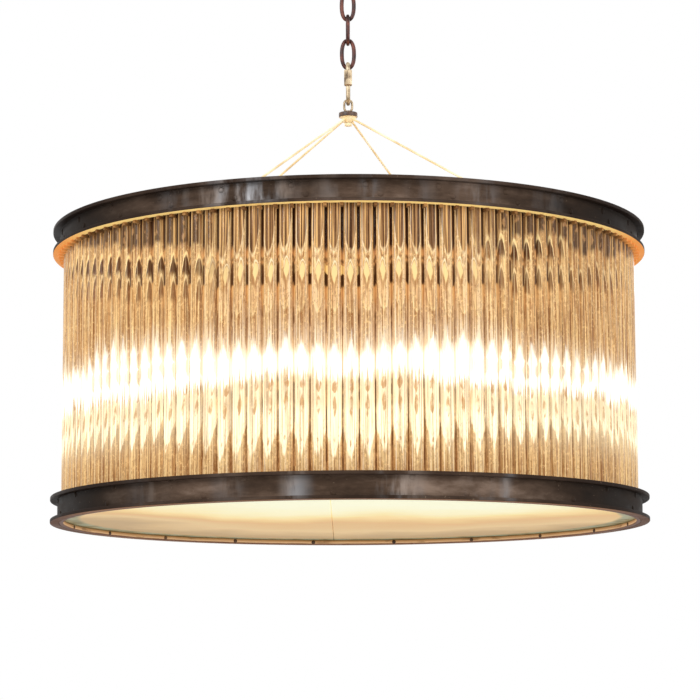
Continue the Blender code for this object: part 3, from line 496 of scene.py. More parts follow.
    # Between the rods, painted shade and light: the dark room above, thin dark lines below, a lit block among
    # them
    gap = mat.ramp(off_centre, 0.77, 0.83)
    broken = mat.ramp(mat.noise(90.0, 2.0, (1.0, 1.0, 0.6)), 0.42, 0.52, 0.35, 1.0)
    slim = mat.mul(mat.ramp(off_centre, 0.86, 0.93), broken)
    gap = mat.mix(mat.ramp(level, 0.232, 0.256), slim, gap, "FLOAT")
    sight = mat.tones(level, GAP_SCENE, GAP_SCENE_TOP)
    block = mat.mul(mat.ramp(level, 0.2755, 0.2765), mat.fall(level, 0.2865, 0.2875))
    block = mat.mul(block, mat.bump_of(turn, -0.05, 0.13))
    sight = mat.mix(block, sight, (250, 214, 138))
    tones = mat.mix(gap, tones, sight)

    # Painted light of the lamps
    near, far, drops, halo = lamp_light(mat, side, seen, height, streaks, grain)
    far_threads = mat.mul(far, mat.ramp(threads, 0.47, 0.38, 0.0, 0.60))
    for share, colour in (
        (halo, (255, 242, 214)), (drops, (190, 134, 80)), (far, (255, 244, 208)),
        (far_threads, (206, 156, 96)), (near, (255, 251, 236)),
    ):
        tones = mat.mix(share, tones, colour)
    bright = mat.most(near, far)
    mat.set("Transmission Weight", 0.10)
    mat.set("IOR", GLASS_INDEX)
    mat.set("Roughness", mat.ramp(off_centre, 0.75, 0.90, 0.06, 0.40))
    # Painted light: the glass glows with its painted tones, more where the painted lamplight falls
    mat.lit(tones, mat.add(mat.mul(bright, 0.32), 0.26))
    return mat.material


def metal_paint(name, stops, roughness=0.35, metallic=1.0, scale=60.0, relief=0.25):
    """Metal whose tone wanders through these colours."""
    mat = Paint(name, metallic=metallic)
    clouds = mat.noise(scale, 5.0)
    places = [0.35 + 0.3 * index / (len(stops) - 1) for index in range(len(stops))]
    mat.set("Base Color", mat.colours(clouds, tuple(zip(places, stops))))
    mat.set("Roughness", mat.ramp(clouds, 0.35, 0.65, roughness - 0.08, roughness + 0.12))
    mat.relief(mat.noise(scale * 4, 3.0), 0.3 * MM, relief)
    return mat.material


# Painted lamplight in the diffuser's glass, as (depth from near to far in metres, screen colour)
DIFFUSER_TONES = (
    (-0.200, (254, 252, 218)), (-0.105, (254, 243, 192)), (-0.010, (252, 218, 148)), (0.060, (236, 194, 126)),
    (0.095, (226, 182, 118)), (0.150, (228, 188, 128)), (0.200, (231, 195, 138)), (0.260, (212, 176, 120)),
    (0.320, (192, 158, 108)),
)
DIFFUSER_NEAR = 0.2
DIFFUSER_SPAN = 0.52

# Pools of lamplight on the diffuser, as (place, reach, how much nearer the pool's tone is), in metres
POOLS = (((-0.13, -0.09), 0.19, 0.080), ((0.19, -0.11), 0.16, 0.060), ((-0.31, -0.03), 0.15, -0.10))


def diffuser_paint():
    """Frosted glass with painted lamplight from above: creamy in front, honey at the far side and ends, and a
    grey-green border that is the painted shadow of the rod rail.
    """
    mat = Paint("frosted_glass", roughness=0.45, shine=0.2)
    across = mat.sub(mat.axis(0), 30 * MM)
    ends = mat.mul(mat.mul(across, across), 1.6)
    left = mat.ramp(mat.axis(0), -26 * MM, -22 * MM, 12 * MM, 0.0)
    clouds = mat.swing(mat.noise(7.0, 4.0, (1.0, 0.7, 1.0)), 0.24)
    for place, reach, gain in POOLS:
        offset = mat.nodes.new("ShaderNodeVectorMath")
        offset.operation = "DISTANCE"
        mat.feed(offset.inputs[0], mat.place)
        offset.inputs[1].default_value = (*place, panel_low.z)
        pool = mat.ramp(offset.outputs["Value"], 0.0, reach, gain, 0.0)
        clouds = mat.sub(clouds, pool)
    smears = mat.swing(mat.noise(30.0, 3.0, (0.4, 1.6, 1.0)), 0.04)
    depth = mat.add(mat.add(mat.axis(1), ends), mat.add(left, smears))
    depth = mat.add(depth, clouds)
    stops = [((place + DIFFUSER_NEAR) / DIFFUSER_SPAN, tone) for place, tone in DIFFUSER_TONES]
    tones = mat.colours(mat.div(mat.add(depth, DIFFUSER_NEAR), DIFFUSER_SPAN), stops)
    # Painted shadow of the rod rail: the glass's border under it turns darker grey-green and glows less.
    ragged = mat.swing(mat.noise(16.0, 4.0), 10 * MM)
    rail_shadow = mat.ramp(mat.add(mat.off_axis(), ragged), 357 * MM, 366 * MM)
    rail_shadow_tones = mat.colours(mat.noise(34.0, 4.0), (
        (0.35, (128, 122, 82)), (0.52, (172, 168, 128)), (0.64, (150, 166, 142)), (0.72, (190, 182, 146)),
    ))
    tones = mat.mix(mat.mul(rail_shadow, 0.9), tones, rail_shadow_tones)
    mat.lit(tones, mat.sub(0.24, mat.mul(rail_shadow, 0.16)))
    mat.relief(mat.noise(900.0, 2.0), 0.05 * MM, 0.2)
    return mat.material


def hoop_paint():
    """Inside of the diffuser's hoop: bare metal with painted lamplight from the lit glass, a painted bright
    band, and darker at both edges, the upper one a painted shadow.
    """
    mat = Paint("hoop_steel", roughness=0.5, shine=0.2)
    rise = mat.div(mat.sub(mat.axis(2), ledge_low.z), ledge_high.z - ledge_low.z)
    clouds = mat.noise(22.0, 5.0, (1.0, 1.0, 4.0), 0.6)
    rise = mat.add(rise, mat.swing(clouds, 0.25))
    # Painted light and shade up the hoop: a darker lower edge, a bright band of lamplight from the glass, a
    # painted shadow at the upper edge.
    tones = mat.colours(rise, (
        (0.04, (92, 58, 42)), (0.16, (150, 104, 74)), (0.30, (238, 198, 154)), (0.50, (214, 166, 118)),
        (0.72, (190, 140, 92)), (0.94, (132, 104, 62)),
    ))
    tones = mat.mix(mat.ramp(clouds, 0.56, 0.70, 0.0, 0.55), tones, (116, 78, 48))
    mat.lit(tones, 0.25)
    mat.relief(mat.noise(90.0, 4.0), 0.3 * MM, 0.3)
    return mat.material


def comb_paint():
    """Dark steel between the rods, with lamplight on it towards the ends."""
    mat = Paint("comb_steel", roughness=0.6, shine=0.2)
    clouds = mat.noise(40.0, 4.0)
    steel = mat.colours(clouds, ((0.38, (122, 84, 50)), (0.52, (166, 122, 76)), (0.64, (206, 160, 104))))
    ends = mat.ramp(mat.size(mat.axis(0)), 0.84 * flange_r, 0.93 * flange_r)
    tones = mat.mix(ends, steel, mat.mix(clouds, (226, 150, 76), (250, 180, 104)))
    mat.lit(tones, mat.mul(ends, 0.25))
    mat.relief(mat.noise(160.0, 3.0), 0.3 * MM, 0.25)
    return mat.material


def hub_paint():
    """Dark worn disc over a cream cone that glows with painted lamplight."""
    mat = Paint("hub_steel", roughness=0.4)
    clouds = mat.noise(90.0, 5.0)
    disc = mat.colours(clouds, ((0.35, (66, 48, 38)), (0.52, (104, 78, 62)), (0.68, (160, 128, 104))))
    cone = mat.colours(clouds, ((0.35, (236, 214, 166)), (0.65, (252, 240, 204))))
    upper = mat.ramp(mat.axis(2), hub_high.z - 6.6 * MM, hub_high.z - 6.2 * MM)
    mat.set("Base Color", mat.mix(upper, cone, disc))
    # Painted lamplight: the cone glows.
    mat.glow(cone, mat.ramp(upper, 0.0, 1.0, 0.30, 0.0))
    mat.relief(mat.noise(360.0, 3.0), 0.2 * MM, 0.2)
    return mat.material


def wire_paint():
    """Pale strands that the lamplight catches."""
    mat = Paint("wire_brass", roughness=0.5)
    tones = mat.colours(mat.noise(30.0, 4.0), (
        (0.35, (222, 196, 146)), (0.50, (240, 220, 174)), (0.65, (252, 240, 208)),
    ))
    mat.lit(tones, 0.30)
    return mat.material


def eye_paint():
    """Zinc eye; its nut below the hub takes the cone's cream and its painted lamplight glow."""
    mat = Paint("eye_zinc", roughness=0.36)
    clouds = mat.noise(80.0, 5.0)
    zinc_tones = mat.colours(clouds, (
        (0.35, (118, 98, 78)), (0.50, (180, 158, 128)), (0.65, (228, 208, 176)),
    ))
    # Painted lamplight: the nut below the hub is cream and glows.
    low = mat.ramp(mat.axis(2), hub_low.z - MM, hub_low.z, 1.0, 0.0)
    tones = mat.mix(low, zinc_tones, (250, 234, 192))
    mat.set("Metallic", mat.mul(mat.sub(1.0, low), 0.5))
    mat.lit(tones, mat.mul(low, 0.25))
    return mat.material


def bulb_paint():
    mat = Paint("bulb_glass", 0.3)
    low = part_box("bulb_1")[0].z
    lit = mat.ramp(mat.axis(2), low + 70 * MM, low + 82 * MM, 1.0, 0.0)
    mat.set("Base Color", mat.mix(lit, (196, 190, 180), (255, 240, 214)))
    mat.glow((255, 232, 190), mat.mul(lit, 6.0))
    return mat.material


dark_ring_top = ring_paint(
    "ring_steel_top", TOP_WEAR, top_ring_low.z, ((255, 220, 140), (238, 158, 78)), 0.34)
dark_ring_bottom = ring_paint(
    "ring_steel_bottom", BOTTOM_WEAR, bottom_ring_low.z, ((146, 104, 74), (98, 66, 48)), 0.08)
hoop_steel = hoop_paint()
glass = rod_paint()
frosted = diffuser_paint()
bulb_glass = bulb_paint()
bronze = metal_paint("chain_bronze", ((52, 26, 22), (82, 44, 38), (124, 74, 62)), 0.36, 0.3, 90.0, 0.1)
zinc = metal_paint("zinc", ((112, 94, 74), (180, 160, 130), (232, 214, 182)), 0.34, 0.7, 80.0)
brass = wire_paint()
eye_zinc = eye_paint()
comb_steel = comb_paint()
rivet_steel = metal_paint("rivet_steel", ((66, 42, 26), (92, 62, 40), (124, 88, 58)), 0.6, 0.0, 40.0)
frame_steel = metal_paint("frame_steel", ((96, 84, 74), (128, 112, 98), (158, 140, 122)), 0.45, 0.6, 40.0)
hub_steel = hub_paint()
plate_steel = metal_paint("plate_steel", ((62, 48, 42), (90, 72, 62), (132, 110, 96)), 0.4, 0.5, 60.0)
bakelite = metal_paint("bakelite", ((38, 34, 32), (48, 43, 40)), 0.4, 0.0, 30.0)
sheath = metal_paint("lead_sheath", ((196, 168, 124), (214, 190, 148)), 0.6, 0.0, 50.0)
plastic = metal_paint("terminal_plastic", ((222, 216, 204), (236, 231, 220)), 0.5, 0.0, 50.0)


# Shapes

SHARP_ANGLE = math.radians(38)


def piece(name, data, material, body="fixture", nodes=()):
    """Object from a mesh, riding on its body and standing for its CAD nodes."""
    made = bpy.data.objects.new(name, data)
    bpy.context.scene.collection.objects.link(made)
    data.materials.append(material)
    data.shade_smooth()
    data.set_sharp_from_angle(angle=SHARP_ANGLE)
    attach(made, body)
    if nodes:
        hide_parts(*nodes)
    return made


def rounded(profile, radius, steps=3):
    """The closed profile with each corner turned into a small arc."""
    points = []
    count = len(profile)
    for index in range(count):
        corner = Vector(profile[index])
        before = Vector(profile[index - 1]) - corner
        after = Vector(profile[(index + 1) % count]) - corner
        reach = min(radius, 0.45 * before.length, 0.45 * after.length)
        start = corner + before.normalized() * reach
        end = corner + after.normalized() * reach
        for step in range(steps + 1):
            share = step / steps
            points.append((1 - share) ** 2 * start + 2 * share * (1 - share) * corner + share ** 2 * end)
    return [tuple(point) for point in points]


def lathe(profile, steps, closed=True, centre=(0.0, 0.0), low_turn=0.0):
    """Mesh of a (radius, height) profile turned about the Z axis."""
    made = bmesh.new()
    rings = []
    for radius, height in profile:
        if radius == 0:
            rings.append([made.verts.new((*centre, height))])
            continue
        ring = []
        for step in range(steps):
            angle = low_turn + math.tau * step / steps
            ring.append(made.verts.new((
                centre[0] + radius * math.cos(angle), centre[1] + radius * math.sin(angle), height)))
        rings.append(ring)
    pairs = list(zip(rings, rings[1:]))
    if closed:
        pairs.append((rings[-1], rings[0]))
    for upper, lower in pairs:
        if len(upper) == 1 and len(lower) == 1:
            continue
        for step in range(steps):
            after = (step + 1) % steps
            corners = [upper[step % len(upper)], upper[after % len(upper)]]
            corners += [lower[after % len(lower)], lower[step % len(lower)]]
            unique = list(dict.fromkeys(corners))
            made.faces.new(unique)
    bmesh.ops.recalc_face_normals(made, faces=made.faces)
    return finished(made)


def finished(made):
    mesh = bpy.data.meshes.new("shape")
    made.to_mesh(mesh)
    made.free()
    return mesh


def wire(points, diameter, cyclic=False, swell=0.0):
    """Round tube along points, as a mesh; swell is the share by which its outermost sides are thicker."""
    curve = bpy.data.curves.new("wire", "CURVE")
    curve.dimensions = "3D"
    curve.bevel_depth = diameter / 2
    curve.bevel_resolution = 5
    curve.use_fill_caps = True
    spline = curve.splines.new("POLY")
    spline.points.add(len(points) - 1)
    widest = max(abs(place[0]) for place in points) or 1.0
    for point, place in zip(spline.points, points):
        point.co = (*place, 1.0)
        point.radius = 1.0 + swell * (place[0] / widest) ** 2
    spline.use_cyclic_u = cyclic
    holder = bpy.data.objects.new("wire", curve)
    bpy.context.scene.collection.objects.link(holder)
    bpy.context.view_layer.update()
    graph = bpy.context.evaluated_depsgraph_get()
    mesh = bpy.data.meshes.new_from_object(holder.evaluated_get(graph), depsgraph=graph)
    bpy.data.objects.remove(holder, do_unlink=True)
    bpy.data.curves.remove(curve)
    welded = bmesh.new()
    welded.from_mesh(mesh)
    bmesh.ops.remove_doubles(welded, verts=welded.verts, dist=0.001 * MM)
    welded.to_mesh(mesh)
    welded.free()
    return mesh


def merged(meshes):
    """One mesh of several."""
    made = bmesh.new()
    for mesh in meshes:
        made.from_mesh(mesh)
        bpy.data.meshes.remove(mesh)
    return finished(made)


def oval(width, length, fullness=2.3, steps=56):
    """Points of an oval centre line, upright in the XZ plane; a fullness of 2 makes an ellipse."""
    points = []
    for step in range(steps):
        angle = math.tau * step / steps
        along = math.cos(angle)
        up = math.sin(angle)
        along = math.copysign(abs(along) ** (2 / fullness), along)
        up = math.copysign(abs(up) ** (2 / fullness), up)
        points.append(Vector((along * width / 2, 0.0, up * length / 2)))
    return points


def stadium(width, length, steps=14):
    """Points of a centre line with straight sides and round ends, upright in the XZ plane."""
    radius = width / 2
    straight = (length - width) / 2
    points = []
    for half, height in ((0.0, straight), (math.pi, -straight)):
        for step in range(steps + 1):
            angle = half + math.pi * step / steps
            points.append(Vector((radius * math.cos(angle), 0.0, height + radius * math.sin(angle))))
    return points


def moved(mesh, place, turn=0.0):
    mesh.transform(Matrix.Translation(place) @ Matrix.Rotation(turn, 4, "Z"))
    return mesh


# Rings


def channel(low, high):
    return rounded([
        (flange_r, high), (flange_r, high - FLANGE_T), (web_r, high - FLANGE_T), (web_r, low + FLANGE_T),
        (flange_r, low + FLANGE_T), (flange_r, low), (web_inner_r, low), (web_inner_r, high),
    ], 0.8 * MM)


def rivet_mesh(place, outward, radius, height):
    """Low dome whose flat side lies on the surface."""
    profile = [(0.0, height), (0.45 * radius, 0.93 * height), (0.8 * radius, 0.6 * height), (radius, 0.0)]
    mesh = lathe(profile, 12, closed=False)
    turn = Vector((0.0, 0.0, 1.0)).rotation_difference(outward).to_matrix().to_4x4()
    mesh.transform(Matrix.Translation(place) @ turn)
    return mesh


def rivets(name, radius, rows, material, inward=False, head=4.2 * MM, height=1.3 * MM):
    """Rows of (count, first azimuth in degrees, height) on a web."""
    meshes = []
    for count, first, level in rows:
        for index in range(count):
            azimuth = math.radians(first + 360 * index / count)
            out = around(-1.0 if inward else 1.0, azimuth)
            place = around(radius, azimuth, level) - out * 0.2 * MM
            meshes.append(rivet_mesh(place, out, head, height))
    return piece(name, merged(meshes), material)


def make_rings():
    for side, low, high, material in (
        ("top", top_ring_low, top_ring_high, dark_ring_top),
        ("bottom", bottom_ring_low, bottom_ring_high, dark_ring_bottom),
    ):
        mesh = lathe(channel(low.z, high.z), RING_STEPS)
        piece(f"{side}_channel", mesh, material, nodes=(f"{side}_ring",))
    ledge_inner_r = ledge_high.x - LEDGE_T
    hoop = rounded([
        (ledge_high.x, ledge_high.z), (ledge_high.x, ledge_low.z), (ledge_inner_r, ledge_low.z),
        (ledge_inner_r, ledge_high.z),
    ], 0.7 * MM)
    piece("ledge_hoop", lathe(hoop, RING_STEPS), hoop_steel, nodes=("diffuser_ledge",))
    rivets("top_rivets", web_r, (
        (27, -23.6, drum_top - 10.5 * MM), (27, -34.3, drum_top - 22 * MM),
    ), dark_ring_top)
    rivets("bottom_rivets", web_r, (
        (24, -3.9, drum_bottom + 27 * MM), (15, -2.9, drum_bottom + 8.5 * MM),
    ), dark_ring_bottom)
    rivets("hoop_rivets", ledge_inner_r, ((20, 180 - 9.8, drum_bottom + 3.2 * MM),), rivet_steel,
           inward=True, head=3.0 * MM, height=1.6 * MM)


# Rods and their rail

ROD_WIDE = 19.75 * MM
ROD_SHOULDER_RISE = 7 * MM  # how far a rod's wide part reaches over the comb
ROD_NECK = 4 * MM
ROD_SEGMENTS = 28
MOST_TURN = math.radians(38)

# What each rod shows of the lamps, as (azimuth in degrees, value): the belt's upper and lower edge, how far
# notches break it into columns, the foot of the cup of light below it, the cup's rise towards its sides, how
# full the belt's light is, and the cup's lean
GLOW = {
    "high": ((-77, 0.187), (-62, 0.182), (-57, 0.196), (-48, 0.199), (-38, 0.193), (-30, 0.191), (-20, 0.184),
             (5, 0.182), (14, 0.187), (22, 0.193), (38, 0.187), (52, 0.180), (61, 0.184), (76, 0.179)),
    "low": ((-77, 0.140), (-60, 0.138), (-38, 0.137), (-26, 0.146), (-16, 0.152), (10, 0.154), (20, 0.144),
            (38, 0.140), (52, 0.145), (61, 0.142), (76, 0.146)),
    "columns": ((-66, 0.0), (-56, 0.7), (-44, 0.85), (-34, 0.55), (-22, 0.1), (0, 0.2), (22, 0.1), (32, 0.8),
                (54, 0.8), (60, 0.0)),
    "tip": ((-77, 0.072), (-60, 0.074), (-38, 0.070), (-20, 0.051), (0, 0.052), (14, 0.057), (22, 0.062),
            (38, 0.080), (52, 0.087), (76, 0.085)),
    "steep": ((-38, 0.040), (-20, 0.034), (14, 0.034), (38, 0.026), (76, 0.026)),
    "lit": ((-77, 0.95), (-60, 0.85), (-48, 0.85), (-25, 0.94), (-18, 1.0), (-8, 0.96), (2, 0.90), (8, 0.80),
            (14, 1.0), (20, 0.95), (28, 0.84), (40, 0.80), (52, 0.90), (60, 1.0)),
    "lean": ((-57, 1.0), (-40, 0.9), (-25, 0.6), (-10, 0.2), (5, 0.0), (30, -0.2), (52, -0.3)),
}


def interpolated(points, place):
    """Value at a place between the points, and the end value beyond them."""
    if place <= points[0][0]:
        return points[0][1]
    for (start, first), (end, second) in zip(points, points[1:]):
        if place <= end:
            return first + (second - first) * (place - start) / (end - start)
    return points[-1][1]


def rod_sector(index):
    """Ten rods; each point keeps its sideways place on its rod, and its rod's azimuth and what that shows."""
    chance = random.Random(index)
    made = bmesh.new()
    layers = {name: made.verts.layers.float.new(name) for name in ("side", "chance", "turn", *GLOW)}
    floor = rail_low.z + RAIL_H
    shoulder = comb_high.z + ROD_SHOULDER_RISE
    levels = (
        (floor, 1.0), (floor + 110 * MM, 1.0), (floor + 220 * MM, 1.0), (shoulder, 1.0),
        (shoulder + ROD_NECK, 0.0), (rod_high.z - 0.8 * MM, 0.0), (rod_high.z, -0.1),
    )
    per_sector = ROD_COUNT // SECTORS
    for rod in range(per_sector):
        azimuth = ROD_PHASE + math.tau * (index * per_sector + rod) / ROD_COUNT
        out = around(1.0, azimuth)
        along = around(1.0, azimuth + math.pi / 2)
        middle = out * rod_line_r
        folded = math.atan2(out.x, abs(out.y))
        shift = max(-MOST_TURN, min(MOST_TURN, folded))
        own = {name: interpolated(points, math.degrees(folded)) for name, points in GLOW.items()}
        own["chance"] = chance.random()
        own["turn"] = folded
        rings = []
        for height, wide in levels:
            half_side = ROD_D / 2 + wide * (ROD_WIDE - ROD_D) / 2
            half_out = ROD_D / 2 + min(wide, 0.0) * (ROD_WIDE - ROD_D) / 2
            ring = []
            for step in range(ROD_SEGMENTS):
                angle = math.tau * step / ROD_SEGMENTS
                vertex = made.verts.new(
                    middle + along * (half_side * math.sin(angle)) + out * (half_out * math.cos(angle))
                    + Vector((0.0, 0.0, height)))
                vertex[layers["side"]] = 0.999 * math.sin(angle + (shift if out.y < 0 else -shift))
                for name, value in own.items():
                    vertex[layers[name]] = value
                ring.append(vertex)
            rings.append(ring)
        for lower, upper in zip(rings, rings[1:]):
            for step in range(ROD_SEGMENTS):
                after = (step + 1) % ROD_SEGMENTS
                made.faces.new((lower[step], lower[after], upper[after], upper[step]))
        made.faces.new(rings[-1])
        made.faces.new(list(reversed(rings[0])))
    bmesh.ops.recalc_face_normals(made, faces=made.faces)
    return finished(made)


def make_rods():
    for index in range(SECTORS):
        name = f"rod_sector_{index + 1:02d}"
        piece(f"glass_rods_{index + 1:02d}", rod_sector(index), glass, nodes=(name,))
    top = rail_low.z + RAIL_H
    outer = web_inner_r - RAIL_TO_WEB
    leg_inner = outer - RAIL_LEG_T
    shelf = rounded([
        (outer, top), (outer, rail_low.z), (leg_inner, rail_low.z), (leg_inner, top - RAIL_T),
        (RAIL_INNER_R, top - RAIL_T), (RAIL_INNER_R, top),
    ], 0.4 * MM, 2)
    piece("rod_rail", lathe(shelf, RING_STEPS), frame_steel)


# Diffuser


def make_diffuser():
    radius = panel_high.y
    seam = panel_low.x
    for name, sign, chord in (("right", 1.0, seam), ("left", -1.0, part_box("diffuser_panel_left")[1].x)):
        half = math.acos(sign * chord / radius)
        made = bmesh.new()
        steps = 96
        rims = []
        for height in (panel_low.z, panel_high.z):
            rim = []
            for step in range(steps + 1):
                angle = -half + 2 * half * step / steps
                point = (sign * radius * math.cos(angle), radius * math.sin(angle), height)
                rim.append(made.verts.new(point))
            made.faces.new(rim)
            rims.append(rim)
        lower, upper = rims
        for step in range(steps + 1):
            made.faces.new((lower[step - 1], lower[step], upper[step], upper[step - 1]))
        bmesh.ops.recalc_face_normals(made, faces=made.faces)
        panel = piece(f"frosted_panel_{name}", finished(made), frosted, f"panel_{name}",
                      (f"diffuser_panel_{name}",))
        edge = panel.modifiers.new("edge", "BEVEL")
        edge.width = 0.5 * MM
        edge.segments = 2
        edge.limit_method = "ANGLE"


# Chain, quick link, hub and wires

LINKS = 4
LINK_WIRE = 5 * MM
LINK_SWELL = 0.14  # share by which a link's wire is thicker at its sides
LOOP_WIRE = 6 * MM
LOOP_STEM_R = 4 * MM
LOOP_COLLAR_R = 9 * MM
LOOP_COLLAR_H = 3 * MM
QUICK_WIRE = 6 * MM
GATE_GAP = 11 * MM
SLEEVE_ACROSS = 10.8 * MM
EYE_WIRE = 3.2 * MM
EYE_L = 19.7 * MM
EYE_STEM_R = 3 * MM
EYE_NUT_R = 5 * MM
EYE_NUT_H = 4 * MM
HUB_T = 6.5 * MM
WIRES = 4
WIRE_D = 3 * MM
FERRULE_D = 6.4 * MM
FERRULE_L = 6.6 * MM
LAMPS = 4
BULB_R = 30 * MM
PLAY = 0.3 * MM


def make_chain():
    for index in range(LINKS):
        low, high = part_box(f"chain_link_{index + 1}")
        thick = LINK_WIRE
        across = max(high.x - low.x, high.y - low.y)
        line = oval(across - thick * (1.0 + LINK_SWELL), high.z - low.z - thick)
        turn = math.pi / 2 if high.y - low.y > high.x - low.x else 0.0
        mesh = moved(wire(line, thick, True, LINK_SWELL), (low + high) / 2, turn)
        body = f"link_{index + 1}"
        piece(f"bronze_link_{index + 1}", mesh, bronze, body, (f"chain_link_{index + 1}",))
    low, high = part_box("ceiling_loop")
    thick = LOOP_WIRE
    radius = (high.x - low.x - thick) / 2
    centre = low.z + thick / 2 + radius
    loop = moved(wire(oval(2 * radius, 2 * radius, 2.0, 36), thick, True), (0.0, 0.0, centre))
    crown = centre + radius + thick / 2
    collar = plate_low.z - PLAY
    stem = lathe(rounded([
        (0.0, high.z), (LOOP_STEM_R, high.z), (LOOP_STEM_R, collar), (LOOP_COLLAR_R, collar),
        (LOOP_COLLAR_R, collar - LOOP_COLLAR_H), (LOOP_STEM_R, crown), (LOOP_STEM_R, crown - thick / 2),
        (0.0, crown - thick / 2),
    ], 0.4 * MM, 2)[4:-4], 24, closed=False)
    piece("loop_and_stem", merged([loop, stem]), bronze, "ceiling", ("ceiling_loop",))


def make_quick_link():
    low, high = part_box("quick_link")
    sleeve_low, sleeve_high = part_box("quick_link_sleeve")
    thick = QUICK_WIRE
    width = high.y - low.y - thick
    gate_top = sleeve_high.z - 3 * MM - (low.z + high.z) / 2
    gate_bottom = gate_top - GATE_GAP
    points = stadium(width, high.z - low.z - thick, 16)
    points = [Vector((width / 2, 0.0, gate_top)), *points, Vector((width / 2, 0.0, gate_bottom))]
    mesh = moved(wire(points, thick), (low + high) / 2, -math.pi / 2)
    piece("silver_quick_link", mesh, zinc, "quick_link", ("quick_link",))
    half = (sleeve_high.z - sleeve_low.z) / 2
    corner = SLEEVE_ACROSS / math.sqrt(3)
    bore = QUICK_WIRE / 2 + PLAY
    chamfer = 1.0 * MM
    profile = [
        (corner - chamfer, half), (corner, half - chamfer), (corner, chamfer - half),
        (corner - chamfer, -half), (bore, -half), (bore, half),
    ]
    sleeve = lathe(profile, 6, low_turn=math.radians(30))
    moved(sleeve, (sleeve_low + sleeve_high) / 2)
    piece("hex_sleeve", sleeve, zinc, "sleeve", ("quick_link_sleeve",))


def make_hub():
    low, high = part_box("hub_eye")
    thick = EYE_WIRE
    width = high.x - low.x
    line = stadium(width - thick, EYE_L - thick)
    eye = moved(wire(line, thick, True), (0.0, 0.0, high.z - EYE_L / 2))
    foot = high.z - EYE_L
    nut_top = low.z + EYE_NUT_H
    stem = lathe([
        (0.0, foot + thick), (EYE_STEM_R, foot + thick), (EYE_NUT_R, foot + 1.8 * MM),
        (EYE_NUT_R, foot + PLAY), (EYE_STEM_R, foot + PLAY), (EYE_STEM_R, nut_top), (EYE_NUT_R, nut_top),
        (EYE_NUT_R, low.z), (0.0, low.z),
    ], 28, closed=False)
    piece("eye_and_stem", merged([eye, stem]), eye_zinc, nodes=("hub_eye",))
    disc_r = hub_high.x
    disc_bottom = hub_high.z - HUB_T
    bore = EYE_STEM_R + PLAY
    disc = rounded([
        (disc_r, hub_high.z), (disc_r, disc_bottom), (10.5 * MM, disc_bottom), (6.5 * MM, hub_low.z),
        (bore, hub_low.z), (bore, hub_high.z),
    ], 0.9 * MM)
    piece("hub_disc_and_cone", lathe(disc, 48), hub_steel, nodes=("hub_disc",))


def make_wires():
    for index in range(WIRES):
        lug_low, lug_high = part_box(f"wire_lug_{index + 1}")
        azimuth = math.atan2(lug_low.x + lug_high.x, -lug_low.y - lug_high.y)
        node = f"suspension_wire_{index + 1}"
        low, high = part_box(node)
        end_r = max(abs(low.x), abs(high.x), abs(low.y), abs(high.y)) / max(
            abs(math.sin(azimuth)), abs(math.cos(azimuth))) - 2.5 * MM
        start = around(5.3 * MM, azimuth, high.z - 1.4 * MM)
        end = around(end_r, azimuth, low.z + 2.9 * MM)
        direction = (end - start).normalized()
        strand = wire([start, end], WIRE_D)
        ferrule = wire([end - direction * FERRULE_L, end], FERRULE_D)
        piece(f"brass_wire_{index + 1}", merged([strand, ferrule]), brass, nodes=(node,))


def make_lamps():
    for index in range(LAMPS):
        node = f"bulb_{index + 1}"
        low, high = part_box(node)
        centre = ((low.x + high.x) / 2, (low.y + high.y) / 2)
        top = high.z
        globe = low.z + BULB_R
        profile = [(0.0, top), (5 * MM, top), (5 * MM, top - 3 * MM), (12 * MM, top - 3.6 * MM)]
        for turn in range(7):
            profile.append((13 * MM, top - (5 + 3.2 * turn) * MM))
            profile.append((12.4 * MM, top - (6.6 + 3.2 * turn) * MM))
        profile += [(13 * MM, top - 28.5 * MM), (14.5 * MM, top - 38 * MM), (18.5 * MM, top - 50 * MM)]
        for step in range(13):
            angle = math.radians(40 - 130 * step / 12)
            radius = BULB_R * math.cos(angle) if step < 12 else 0.0
            profile.append((radius, globe + BULB_R * math.sin(angle)))
        mesh = lathe(profile, 32, closed=False, centre=centre)
        piece(f"lit_bulb_{index + 1}", mesh, bulb_glass, node, (node,))


CAD_PAINTS = {
    "rod_comb": comb_steel, "lamp_frame": frame_steel, "junction_box": frame_steel, "cable_gland": bakelite,
    "terminal_block": plastic, "ceiling_plate": plate_steel,
    "tie_post": frame_steel, "wire_lug": frame_steel, "lampholder": bakelite, "lamp_lead": sheath,
}


def paint_cad_nodes():
    """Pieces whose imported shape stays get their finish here."""
    for name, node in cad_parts.items():
        kind = name if name in CAD_PAINTS else name.rstrip("0123456789").rstrip("_")
        if kind in CAD_PAINTS:
            node.data.materials.clear()
            node.data.materials.append(CAD_PAINTS[kind])


# Surroundings

FLOOR_Z = -2.3
LIT_WORLD = 0.62  # strength of the white world as light; seen directly it is 1

# Area lights, as (name, place, size in metres, watts), and the point that they face
LIGHTS = (
    ("key", (-1.9, -2.6, 0.9), 1.6, 46.0), ("fill", (2.3, -1.9, 0.1), 1.8, 22.0),
    ("back", (0.4, 2.6, 0.8), 1.8, 24.0),
)
LIGHT_AIM = Vector((0.0, 0.0, -0.6))


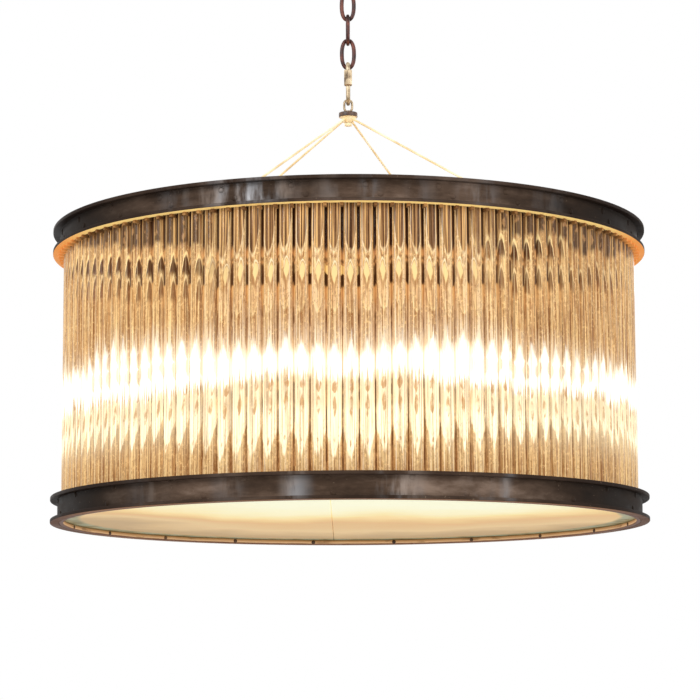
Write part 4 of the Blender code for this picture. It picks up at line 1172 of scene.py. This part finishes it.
def make_surroundings():
    scene = bpy.context.scene
    world = bpy.data.worlds.new("studio")
    scene.world = world
    world.use_nodes = True
    nodes = world.node_tree.nodes
    links = world.node_tree.links
    background = nodes["Background"]
    light_path = nodes.new("ShaderNodeLightPath")
    seen = light_path.outputs["Is Camera Ray"]
    for other in ("Is Glossy Ray", "Is Transmission Ray"):
        most = nodes.new("ShaderNodeMath")
        most.operation = "MAXIMUM"
        links.new(seen, most.inputs[0])
        links.new(light_path.outputs[other], most.inputs[1])
        seen = most.outputs[0]
    level = nodes.new("ShaderNodeMapRange")
    links.new(seen, level.inputs[0])
    level.inputs[3].default_value = LIT_WORLD
    level.inputs[4].default_value = 1.0
    links.new(level.outputs[0], background.inputs["Strength"])
    background.inputs["Color"].default_value = (1.0, 1.0, 1.0, 1.0)

    floor_paint = Paint("floor", 0.8)
    floor_paint.shader.inputs["Base Color"].default_value = (0.86, 0.86, 0.86, 1.0)
    floor_mesh = bmesh.new()
    level_place = Matrix.Translation((0, 0, FLOOR_Z))
    bmesh.ops.create_grid(floor_mesh, x_segments=1, y_segments=1, size=9.0, matrix=level_place)
    floor = bpy.data.objects.new("floor", finished(floor_mesh))
    floor.data.materials.append(floor_paint.material)
    scene.collection.objects.link(floor)

    for name, place, size, watts in LIGHTS:
        lamp = bpy.data.lights.new(name, "AREA")
        lamp.size = size
        lamp.energy = watts
        holder = bpy.data.objects.new(name, lamp)
        holder.location = place
        aim = LIGHT_AIM - Vector(place)
        holder.rotation_euler = aim.to_track_quat("-Z", "Y").to_euler()
        scene.collection.objects.link(holder)

    camera = bpy.data.cameras.new("camera")
    camera.lens = LENS
    camera.sensor_width = SENSOR
    camera.shift_x = PICTURE_SHIFT
    camera.clip_end = 50.0
    holder = bpy.data.objects.new("camera", camera)
    holder.matrix_world = (
        Matrix.Translation((0.0, -CAMERA_DISTANCE, drum_bottom - CAMERA_BELOW_DRUM))
        @ Matrix.Rotation(CAMERA_PITCH, 4, "X") @ Matrix.Rotation(CAMERA_ROLL, 4, "Z")
    )
    scene.collection.objects.link(holder)
    scene.camera = holder
    scene.view_settings.view_transform = "Standard"
    scene.cycles.max_bounces = 16
    scene.cycles.transmission_bounces = 16
    scene.cycles.caustics_refractive = False
    scene.cycles.caustics_reflective = False
    scene.cycles.sample_clamp_indirect = 4.0


make_rings()
make_rods()
make_diffuser()
make_chain()
make_quick_link()
make_hub()
make_wires()
make_lamps()
paint_cad_nodes()
make_surroundings()
